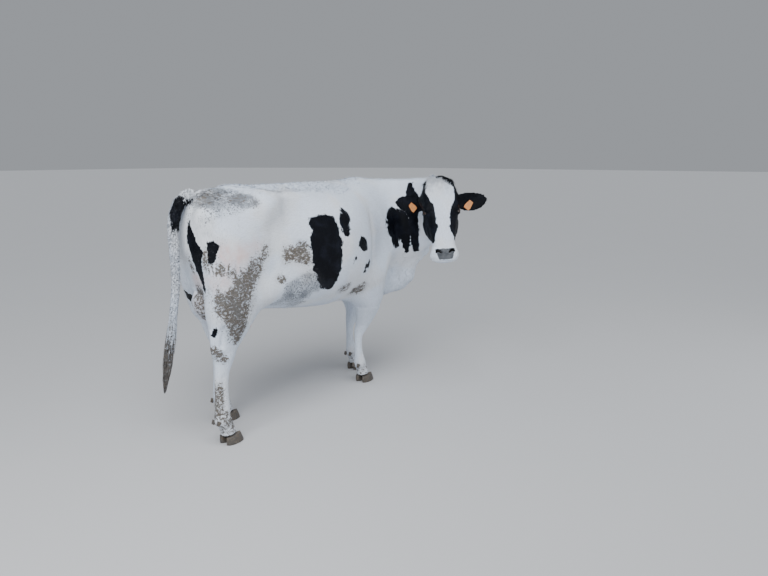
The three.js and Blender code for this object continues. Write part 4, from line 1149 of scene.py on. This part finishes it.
def scatter(number, weight, seed):
    """Roots spread over the skin: corner weights say how densely."""
    rng = np.random.default_rng(seed)
    p, f = SKIN.points, SKIN.faces
    a, b, c = p[f[:, 0]], p[f[:, 1]], p[f[:, 2]]
    area = np.linalg.norm(np.cross(b - a, c - a), axis=1) / 2
    chance = area * weight[f].mean(1)
    pick = rng.choice(len(f), number, p=chance / chance.sum())
    u, v = rng.random(number), rng.random(number)
    fold = u + v > 1
    u[fold], v[fold] = 1 - u[fold], 1 - v[fold]
    share = np.stack([1 - u - v, u, v], 1)
    corners = f[pick]
    at = (p[corners] * share[..., None]).sum(1)
    normal = unit((SKIN.normals[corners] * share[..., None]).sum(1))
    own = SKIN.own[corners[:, 0]]
    return at, normal, own, rng


def skin_unwrap():
    """A flat layout of the skin's own shape, from a coarse copy."""
    obj = link(SKIN.mesh.copy(), "layout")
    thin = obj.modifiers.new("Thin", "DECIMATE")
    thin.ratio = 7000 / len(SKIN.faces)
    baked(obj)
    bpy.ops.object.select_all(action="DESELECT")
    bpy.context.view_layer.objects.active = obj
    obj.select_set(True)
    bpy.ops.object.mode_set(mode="EDIT")
    bpy.ops.mesh.select_all(action="SELECT")
    bpy.ops.uv.smart_project(angle_limit=math.radians(70), island_margin=0.004)
    bpy.ops.object.mode_set(mode="OBJECT")
    mesh = obj.data
    uv = np.empty(len(mesh.loops) * 2)
    mesh.uv_layers.active.data.foreach_get("uv", uv)
    uv = uv.reshape(-1, 2)
    bm = bmesh.new()
    bm.from_mesh(mesh)
    bm.faces.ensure_lookup_table()
    SKIN.layout_tree = BVHTree.FromBMesh(bm)
    SKIN.layout = [(np.array([v.co for v in f.verts]), uv[[loop.index for loop in f.loops]])
                   for f in bm.faces]
    bm.free()
    bpy.data.objects.remove(obj)


def layout_place(at):
    """Where roots fall on the flat layout."""
    out = np.zeros((len(at), 2))
    for k, p in enumerate(at):
        hit, _, face, _ = SKIN.layout_tree.find_nearest(Vector(p))
        corner, uv = SKIN.layout[face]
        a, b, c = corner[0], corner[1], corner[2]
        m = np.stack([b - a, c - a], 1)
        share, *_ = np.linalg.lstsq(m, np.array(hit) - a, rcond=None)
        share = np.clip(share, 0, 1)
        out[k] = uv[0] + share[0] * (uv[1] - uv[0]) + share[1] * (uv[2] - uv[0])
    return np.clip(out, 0.004, 0.996)


def tufts(name, at, normal, own, way, length, width, lift, droop, knots):
    """Pointed three-sided tufts as one mesh. Each bends back to the skin or hangs, as droop says."""
    count = len(at)
    length = np.broadcast_to(length, count)
    width = np.broadcast_to(width, count)
    lift = np.broadcast_to(lift, count)
    across = unit(np.cross(normal, way))
    rows = []
    tips = []
    fall = np.array((0.0, 0.0, -1.0))
    for j in range(knots + 1):
        t = j / (knots + 1)
        rise_up = np.sin(lift)[:, None] * normal * (t - 0.5 * t * t) * length[:, None]
        forward = np.cos(lift)[:, None] * way * t * length[:, None]
        hang = droop * t ** 2
        centre = at + forward + rise_up + fall * hang * length[:, None] - normal * 0.0012 * (j == 0)
        half = width[:, None] * (1 - 0.75 * t * t) * 0.5
        rows.append(np.stack([centre - across * half, centre + across * half,
                              centre + normal * half * 0.4], 1))
        tips.append(t)
    end = at + np.cos(lift)[:, None] * way * length[:, None]
    end = end + np.sin(lift)[:, None] * normal * 0.5 * length[:, None] + fall * droop * length[:, None]
    per = 3 * (knots + 1) + 1
    points = np.empty((count, per, 3))
    for j, row in enumerate(rows):
        points[:, 3 * j:3 * j + 3] = row
    points[:, -1] = end
    faces = [(2, 1, 0)]
    quads = []
    for j in range(knots):
        for k in range(3):
            a, b = 3 * j + k, 3 * j + (k + 1) % 3
            quads += [(a, b, b + 3), (a, b + 3, a + 3)]
    last = 3 * knots
    cap = [(last + k, last + (k + 1) % 3, per - 1) for k in range(3)]
    pattern = np.array([*faces, *quads, *cap])
    every = (pattern[None] + (np.arange(count) * per)[:, None, None]).reshape(-1, 3)
    mesh = bpy.data.meshes.new(name)
    mesh.vertices.add(count * per)
    mesh.vertices.foreach_set("co", points.ravel())
    mesh.loops.add(len(every) * 3)
    mesh.loops.foreach_set("vertex_index", every.ravel().astype(np.int32))
    mesh.polygons.add(len(every))
    mesh.polygons.foreach_set("loop_start", np.arange(len(every), dtype=np.int32) * 3)
    mesh.update(calc_edges=True)
    mark_up(mesh, np.repeat(at, per, 0), np.repeat(own, per))
    tip = np.array([*np.repeat(tips, 3), 1.0])
    set_value(mesh, "tip", np.tile(tip, count))
    root = layout_place(at)
    local = np.zeros((per, 2))
    for j in range(knots + 1):
        local[3 * j:3 * j + 3, 0] = (0, 1, 0.5)
        local[3 * j:3 * j + 3, 1] = j / (knots + 1)
    local[-1] = (0.5, 1)
    uv = (root[:, None] + (local[None] - 0.5) * 0.003)
    layer = mesh.uv_layers.new(name="OFBake")
    layer.data.foreach_set("uv", uv.reshape(-1, 2)[every.ravel()].ravel())
    dress(link(mesh, name), SKIN.tuft_material, SLOT_OF_COAT)
    print(name, count, "tufts", len(every), "faces")


def short_coat(coat):
    """Flat short tufts over trunk, neck and limbs."""
    own = SKIN.own
    regions = {
        "coat_trunk": (own == "trunk", 0.42),
        "coat_neck": (own == "neck", 0.17),
        "coat_quarters": (np.isin(own, ("thigh_right", "thigh_left", "forearm_right", "forearm_left")), 0.16),
        "coat_legs": (np.isin(own, LEGS), 0.14),
    }
    for k, (name, (mask, share)) in enumerate(regions.items()):
        number = int(coat.number * share) // 1
        at, normal, mine, rng = scatter(number, mask.astype(float) + 1e-9, 100 + k)
        small = 0.75 if name == "coat_legs" else 1.0
        way = strayed(lie_of(at, normal, mine), normal, 0.16, rng)
        length = coat.tuft * small * rng.uniform(0.6, 1.3, number)
        tufts(name, at, normal, mine, way, length, length * rng.uniform(0.12, 0.2, number),
              np.radians(rng.uniform(2, 8, number)), 0.0, 0)


def head_coat(coat):
    """Tufts of face, poll and ears."""
    p, own = SKIN.points, SKIN.own
    q = to_head(p)
    face = (own == "head") & ((q[:, 2] > -0.20) | (np.abs(q[:, 0]) > 0.06))
    clear = np.ones(len(p))
    for s in (-1, 1):
        at, *_ = eye_axes(s)
        clear *= rise(np.linalg.norm(p - at, axis=1), 0.030, 0.045)
    number = 9000 // 1
    at, normal, mine, rng = scatter(number, face * clear + 1e-9, 201)
    way = strayed(lie_of(at, normal, mine), normal, 0.15, rng)
    local = to_head(at)
    size = 0.55 + 0.35 * rise(local[:, 2], 0.0, 0.18)
    length = coat.tuft * size * rng.uniform(0.6, 1.25, number)
    tufts("coat_head", at, normal, mine, way, length, length * 0.16, np.radians(rng.uniform(2, 8, number)),
          0.0, 0)
    # poll
    poll = (own == "head") * np.exp(-(((q - (0, -0.09, 0.255)) / (0.075, 0.06, 0.06)) ** 2).sum(1))
    number = 2600 // 1
    at, normal, mine, rng = scatter(number, poll + 1e-9, 202)
    way = unit(lie_of(at, normal, mine) * 0.6 + HEAD_AXES[:, 1] * 0.6 + 0.28 * rng.normal(size=at.shape))
    way = along_skin(way, normal)
    length = rng.uniform(0.018, 0.040, number)
    tufts("poll_tuft", at, normal, mine, way, length, 0.0021, np.radians(rng.uniform(8, 38, number)),
          0.12, 2)
    # ears
    ears = np.isin(own, ("ear_right", "ear_left")).astype(float)
    number = 5200 // 1
    at, normal, mine, rng = scatter(number, ears + 1e-9, 203)
    way = strayed(lie_of(at, normal, mine), normal, 0.35, rng)
    length = rng.uniform(0.005, 0.010, number)
    tufts("coat_ears", at, normal, mine, way, length, length * 0.18, np.radians(rng.uniform(2, 10, number)),
          0.0, 1)


# Middle line of the hanging switch: place and radius
SWITCH = ((-0.960, 0.260, 0.86, 0.024), (-0.989, 0.277, 0.705, 0.026), (-1.003, 0.287, 0.60, 0.035),
          (-1.019, 0.297, 0.48, 0.029), (-1.033, 0.304, 0.39, 0.016), (-1.043, 0.307, 0.322, 0.003))


def switch_at(z):
    """Middle line and radius of the switch at a height."""
    table = np.array(SWITCH)[::-1]
    return np.stack([np.interp(z, table[:, 2], table[:, k]) for k in (0, 1)] + [z], 1), \
        np.interp(z, table[:, 2], table[:, 3])


def long_hair():
    """Tail switch, hair of the tail, and the rough edge along back, belly and brisket."""
    p, n, own = SKIN.points, SKIN.normals, SKIN.own
    few = 1
    tail = (own == "tail") * rise(0.86 - p[:, 2], 0.0, 0.12)
    number = 2400 // few
    at, normal, mine, rng = scatter(number, tail + 1e-9, 301)
    centre, _ = switch_at(at[:, 2])
    above_tip = at[:, 2] - SWITCH[-1][2]
    length = np.minimum(rng.uniform(0.10, 0.28, number), above_tip * rng.uniform(0.6, 1.0, number))
    length = np.maximum(length, 0.012)
    low, radius = switch_at(at[:, 2] - length * 0.97)
    outward = unit((at - centre) * (1, 1, 0) + 0.004 * rng.normal(size=at.shape) * (1, 1, 0))
    way = unit(low + outward * (radius * rng.uniform(0.1, 0.95, number))[:, None] - at)
    tufts("tail_switch", at, normal, mine, way, length, rng.uniform(0.0035, 0.0075, number),
          np.radians(rng.uniform(0, 3, number)), 0.0, 4)
    tail = (own == "tail") * rise(p[:, 2], 0.74, 0.82)
    number = 2600 // few
    at, normal, mine, rng = scatter(number, tail + 1e-9, 302)
    way = unit(np.array((0.0, 0.0, -1.0)) + 0.18 * rng.normal(size=at.shape))
    way = along_skin(way, normal)
    length = rng.uniform(0.016, 0.032, number)
    tufts("coat_tail", at, normal, mine, way, length, length * 0.16, np.radians(rng.uniform(5, 20, number)),
          0.0, 1)
    # rough edges
    body = np.isin(own, BROAD)
    back = body * rise(n[:, 2], 0.80, 0.97) * (p[:, 2] > 1.3) * (1 + rise(-p[:, 0], 0.78, 0.88))
    under = body * rise(-n[:, 2], 0.45, 0.8) * np.exp(-((p[:, 1] - MIDLINE) / 0.12) ** 2)
    under += 1.5 * body * np.exp(-(((p - (0.80, -0.13, 0.72)) / (0.18, 0.16, 0.14)) ** 2).sum(1))
    for name, weight, number, low, high, steep, seed in (
            ("back_edge", back, 4200, 0.012, 0.030, 46, 303),
            ("belly_edge", under, 2600, 0.014, 0.028, 35, 304)):
        number //= few
        at, normal, mine, rng = scatter(number, weight + 1e-9, seed)
        way = strayed(lie_of(at, normal, mine), normal, 0.4, rng)
        length = rng.uniform(low, high, number)
        tufts(name, at, normal, mine, way, length, length * 0.15, np.radians(rng.uniform(8, steep, number)),
              0.0, 1)


# ---------------------------------------------------------------- eyes
def eye_material():
    fit = bpy.context.scene.cow_fittings
    material, t, shader, where = plain_material(
        "eye_wet", 0.06, Coat_Weight=0.15, Coat_Roughness=0.02, Specular_IOR_Level=0.3)
    pupil = t.read("pupil")
    ring = t.noise(where, 900, 3, 0.6)
    iris = t.mix(t.step(ring, 0.35, 0.65), rgba(fit.iris), (0.035, 0.019, 0.012, 1))
    white = t.mix(t.step(t.noise(where, 260, 3), 0.45, 0.6), (0.60, 0.58, 0.57, 1), (0.34, 0.24, 0.21, 1))
    colour = t.mix(t.step(pupil, 0.97, 1.03), iris, white)
    colour = t.mix(t.step(pupil, 0.40, 0.55, 1.0, 0.0), colour, (0.003, 0.004, 0.008, 1))
    t.join(colour, shader.inputs["Base Color"])
    t.join(t.step(t.noise(where, 500, 2), 0.3, 0.7, 0.045, 0.09), shader.inputs["Roughness"])
    return material


def mesh_of(bm, name):
    """Turns a finished bmesh into a mesh."""
    mesh = bpy.data.meshes.new(name)
    bm.to_mesh(mesh)
    bm.free()
    return mesh


def make_eye(side, material):
    """An eyeball with a slight bulge in front."""
    at, out, ahead, up = eye_axes(SIDES[side])
    bm = bmesh.new()
    bmesh.ops.create_uvsphere(bm, u_segments=56, v_segments=36, radius=EYE_RADIUS)
    turn = Matrix((ahead, up, out)).transposed()
    for v in bm.verts:
        bulge = math.exp(-((v.co.x / 0.0105) ** 2 + (v.co.y / 0.0095) ** 2)) if v.co.z > 0 else 0.0
        v.co.z += 0.0014 * bulge
    local = [v.co.copy() for v in bm.verts]
    bmesh.ops.transform(bm, matrix=Matrix.Translation(Vector(at)) @ turn.to_4x4(), verts=bm.verts)
    bmesh.ops.recalc_face_normals(bm, faces=bm.faces)
    mesh = mesh_of(bm, f"eyeball_{side}")
    mesh.shade_smooth()
    ring = np.array([math.hypot((c.x + 0.0012) / 0.0190, c.y / 0.0160) if c.z > 0 else 2.0 for c in local])
    set_value(mesh, "pupil", ring)
    return dress(link(mesh, f"eyeball_{side}"), material, "eye", f"eye_{side}")


# ---------------------------------------------------------------- claws and ear tags
def horn_material():
    fit = bpy.context.scene.cow_fittings
    material, t, shader, where = plain_material("claw_horn", 0.5, Specular_IOR_Level=0.45)
    rings = t.noise(t.place(where, (1, 1, 9)), 26, 3, 0.55)
    streak = t.noise(t.place(where, (8, 8, 1)), 30, 3, 0.6)
    colour = t.mix(t.step(rings, 0.35, 0.65, 0, 0.5), rgba(fit.horn), (0.12, 0.105, 0.088, 1))
    colour = t.mix(t.step(streak, 0.5, 0.75, 0, 0.4), colour, (0.045, 0.040, 0.036, 1))
    dirt = placed(t, "Barn dirt and shade", Vector=where, Mud=0.55, Grime=0.7, Colour=(0.10, 0.07, 0.045, 1))
    colour = t.mix(dirt["Mask"], colour, dirt["Colour"])
    t.join(colour, shader.inputs["Base Color"])
    t.join(t.step(streak, 0.3, 0.7, 0.42, 0.68), shader.inputs["Roughness"])
    bump(t, shader, t.calc("ADD", rings, t.calc("MULTIPLY", streak, 0.4)), 0.0010, 0.5)
    return material


def rounded(bm, width, segments, angle):
    """Rounds all edges sharper than an angle."""
    edges = [e for e in bm.edges if e.is_manifold and e.calc_face_angle(0) > math.radians(angle)]
    bmesh.ops.bevel(bm, geom=edges, offset=width, offset_type="OFFSET", affect="EDGES", segments=segments,
                    profile=0.5, material=-1, clamp_overlap=True)


EDGE_OF_HORN = {"claw": 0.0035, "dewclaw": 0.0055}


def make_claws(leg, material):
    """The two claws and two dewclaws of a foot, with their edges rounded."""
    bm = bmesh.new()
    nodes = []
    for kind, width in EDGE_OF_HORN.items():
        part = bmesh.new()
        for side in ("outer", "inner"):
            nodes.append(f"{kind}_{side}_{leg}")
            merged_copy(part, nodes[-1])
        rounded(part, width, 3, 20)
        shape = mesh_of(part, kind)
        bm.from_mesh(shape)
        bpy.data.meshes.remove(shape)
    mesh = mesh_of(bm, f"claws_{leg}")
    mesh.shade_smooth()
    return dress(link(mesh, f"claws_{leg}"), material, "horn", *nodes)


def tag_material():
    fit = bpy.context.scene.cow_fittings
    material, t, shader, where = plain_material("tag_plastic", 0.38, Subsurface_Weight=0.06)
    wear = t.noise(where, 55, 4, 0.6)
    colour = t.mix(t.step(wear, 0.35, 0.7), rgba(fit.tag), (0.52, 0.20, 0.07, 1))
    stain = t.noise(where, 120, 4, 0.65)
    colour = t.mix(t.step(stain, 0.58, 0.7, 0, 0.7), colour, (0.16, 0.10, 0.06, 1))
    t.join(colour, shader.inputs["Base Color"])
    t.join(t.step(wear, 0.3, 0.7, 0.30, 0.55), shader.inputs["Roughness"])
    bump(t, shader, t.noise(where, 420, 3), 0.0004, 0.6)
    return material


def make_tag(side, material):
    """A bare tag with its edges rounded."""
    bm = bmesh.new()
    merged_copy(bm, f"tag_{side}")
    rounded(bm, 0.0007, 2, 40)
    mesh = mesh_of(bm, f"ear_tag_{side}")
    return dress(link(mesh, f"ear_tag_{side}"), material, "tag", f"tag_{side}")


# ---------------------------------------------------------------- stage
CAMERA_AT = (-3.2473, -2.8887, 1.64)
CAMERA_TILT, CAMERA_HEADING = math.radians(79.1), math.radians(-53.2)
CAMERA_LENS, CAMERA_SENSOR = 32.06, 36


def area_light(name, at, size, power, colour=(1, 1, 1)):
    data = bpy.data.lights.new(name, "AREA")
    data.energy = power
    data.size = size
    data.color = colour
    obj = bpy.data.objects.new(name, data)
    bpy.context.scene.collection.objects.link(obj)
    obj.location = at
    obj.rotation_euler = (Vector((0, 0.1, 0.9)) - Vector(at)).to_track_quat("-Z", "Y").to_euler()


def make_stage(stage):
    """Floor, lights, world and camera."""
    bm = bmesh.new()
    bmesh.ops.create_grid(bm, x_segments=1, y_segments=1, size=80)
    mesh = mesh_of(bm, "studio_floor")
    floor = link(mesh, "studio_floor")
    material, t, shader, where = plain_material("studio_floor", 0.85)
    tone = t.mix(t.step(t.noise(where, 1.2, 3), 0.3, 0.7, 0, 0.06), rgba(stage.floor), (0.5, 0.5, 0.5, 1))
    t.join(tone, shader.inputs["Base Color"])
    mesh.materials.append(material)
    sun = bpy.data.lights.new("sky_panel", "SUN")
    sun.energy = stage.sky
    sun.angle = math.radians(50)
    sun.color = (0.93, 0.97, 1.0)
    panel = bpy.data.objects.new("sky_panel", sun)
    bpy.context.scene.collection.objects.link(panel)
    panel.rotation_euler = (Vector((0.45, 0.60, -1.25))).to_track_quat("-Z", "Y").to_euler()
    area_light("key", (-3.4, -1.4, 3.4), 2.6, stage.key, (0.98, 0.99, 1.0))
    area_light("fill", (2.4, -4.4, 2.0), 3.0, stage.fill, (0.93, 0.96, 1.0))
    world = bpy.data.worlds.new("studio_air")
    world.use_nodes = True
    world.node_tree.nodes["Background"].inputs[0].default_value = (0.80, 0.84, 0.90, 1)
    world.node_tree.nodes["Background"].inputs[1].default_value = 0.42
    bpy.context.scene.world = world
    data = bpy.data.cameras.new("camera")
    data.lens = CAMERA_LENS
    data.sensor_width = CAMERA_SENSOR
    data.clip_end = 100
    camera = bpy.data.objects.new("camera", data)
    bpy.context.scene.collection.objects.link(camera)
    camera.location = CAMERA_AT
    camera.rotation_euler = (CAMERA_TILT, 0, CAMERA_HEADING)
    bpy.context.scene.camera = camera


# ---------------------------------------------------------------- operators and panel
class COW_OT_skin(bpy.types.Operator):
    """Makes the one skin that covers the body, head, legs, ears, tail and udder"""
    bl_idname = "cow.skin"
    bl_label = "Skin"

    def execute(self, context):
        obj = make_skin(context.scene.cow_skin)
        dress(obj, coat_material("skin_and_short_hair", False), SLOT_OF_COAT, *FLESH)
        return {"FINISHED"}


class COW_OT_coat(bpy.types.Operator):
    """Lays the short tufts over the body and head"""
    bl_idname = "cow.coat"
    bl_label = "Short coat"

    def execute(self, context):
        SKIN.tuft_material = coat_material("hair_tufts", True)
        skin_unwrap()
        short_coat(context.scene.cow_coat)
        head_coat(context.scene.cow_coat)
        return {"FINISHED"}


class COW_OT_long_hair(bpy.types.Operator):
    """Hangs the tail switch and the longer hair"""
    bl_idname = "cow.long_hair"
    bl_label = "Long hair"

    def execute(self, context):
        long_hair()
        return {"FINISHED"}


class COW_OT_eyes(bpy.types.Operator):
    """Sets the eyeballs between the lids"""
    bl_idname = "cow.eyes"
    bl_label = "Eyes"

    def execute(self, context):
        material = eye_material()
        for side in SIDES:
            make_eye(side, material)
        return {"FINISHED"}


class COW_OT_claws(bpy.types.Operator):
    """Rounds the claws and dewclaws and gives them horn"""
    bl_idname = "cow.claws"
    bl_label = "Claws"

    def execute(self, context):
        material = horn_material()
        for leg in LEGS:
            make_claws(leg, material)
        return {"FINISHED"}


class COW_OT_ear_tags(bpy.types.Operator):
    """Makes the two bare ear tags"""
    bl_idname = "cow.ear_tags"
    bl_label = "Ear tags"

    def execute(self, context):
        material = tag_material()
        for side in SIDES:
            make_tag(side, material)
        return {"FINISHED"}


class COW_OT_stage(bpy.types.Operator):
    """Sets up the floor, lights and camera"""
    bl_idname = "cow.stage"
    bl_label = "Stage"

    def execute(self, context):
        make_stage(context.scene.cow_stage)
        return {"FINISHED"}


class COW_PT_panel(bpy.types.Panel):
    """Lists the cow's sizes, colours and pieces"""
    bl_idname = "COW_PT_panel"
    bl_label = "Dairy cow"
    bl_space_type = "VIEW_3D"
    bl_region_type = "UI"
    bl_category = "Cow"

    def draw(self, context):
        for group in GROUP_PROPERTIES:
            box = self.layout.box()
            data = getattr(context.scene, group)
            for key in data.__annotations__:
                box.prop(data, key)
        for operator in OPERATORS:
            self.layout.operator(operator.bl_idname)


GROUP_PROPERTIES = {"cow_skin": CowSkin, "cow_coat": CowCoat,
                    "cow_fittings": CowFittings, "cow_stage": CowStage}
OPERATORS = (COW_OT_skin, COW_OT_coat, COW_OT_long_hair, COW_OT_eyes, COW_OT_claws,
             COW_OT_ear_tags, COW_OT_stage)
CLASSES = (*GROUP_PROPERTIES.values(), *OPERATORS, COW_PT_panel)


def register():
    for cls in CLASSES:
        bpy.utils.register_class(cls)
    for name, cls in GROUP_PROPERTIES.items():
        setattr(bpy.types.Scene, name, bpy.props.PointerProperty(type=cls))


def unregister():
    for name in GROUP_PROPERTIES:
        delattr(bpy.types.Scene, name)
    for cls in reversed(CLASSES):
        bpy.utils.unregister_class(cls)


def main():
    register()
    bpy.ops.cow.skin()
    bpy.ops.cow.coat()
    bpy.ops.cow.long_hair()
    bpy.ops.cow.eyes()
    bpy.ops.cow.claws()
    bpy.ops.cow.ear_tags()
    bpy.ops.cow.stage()


if __name__ == "__main__":
    main()
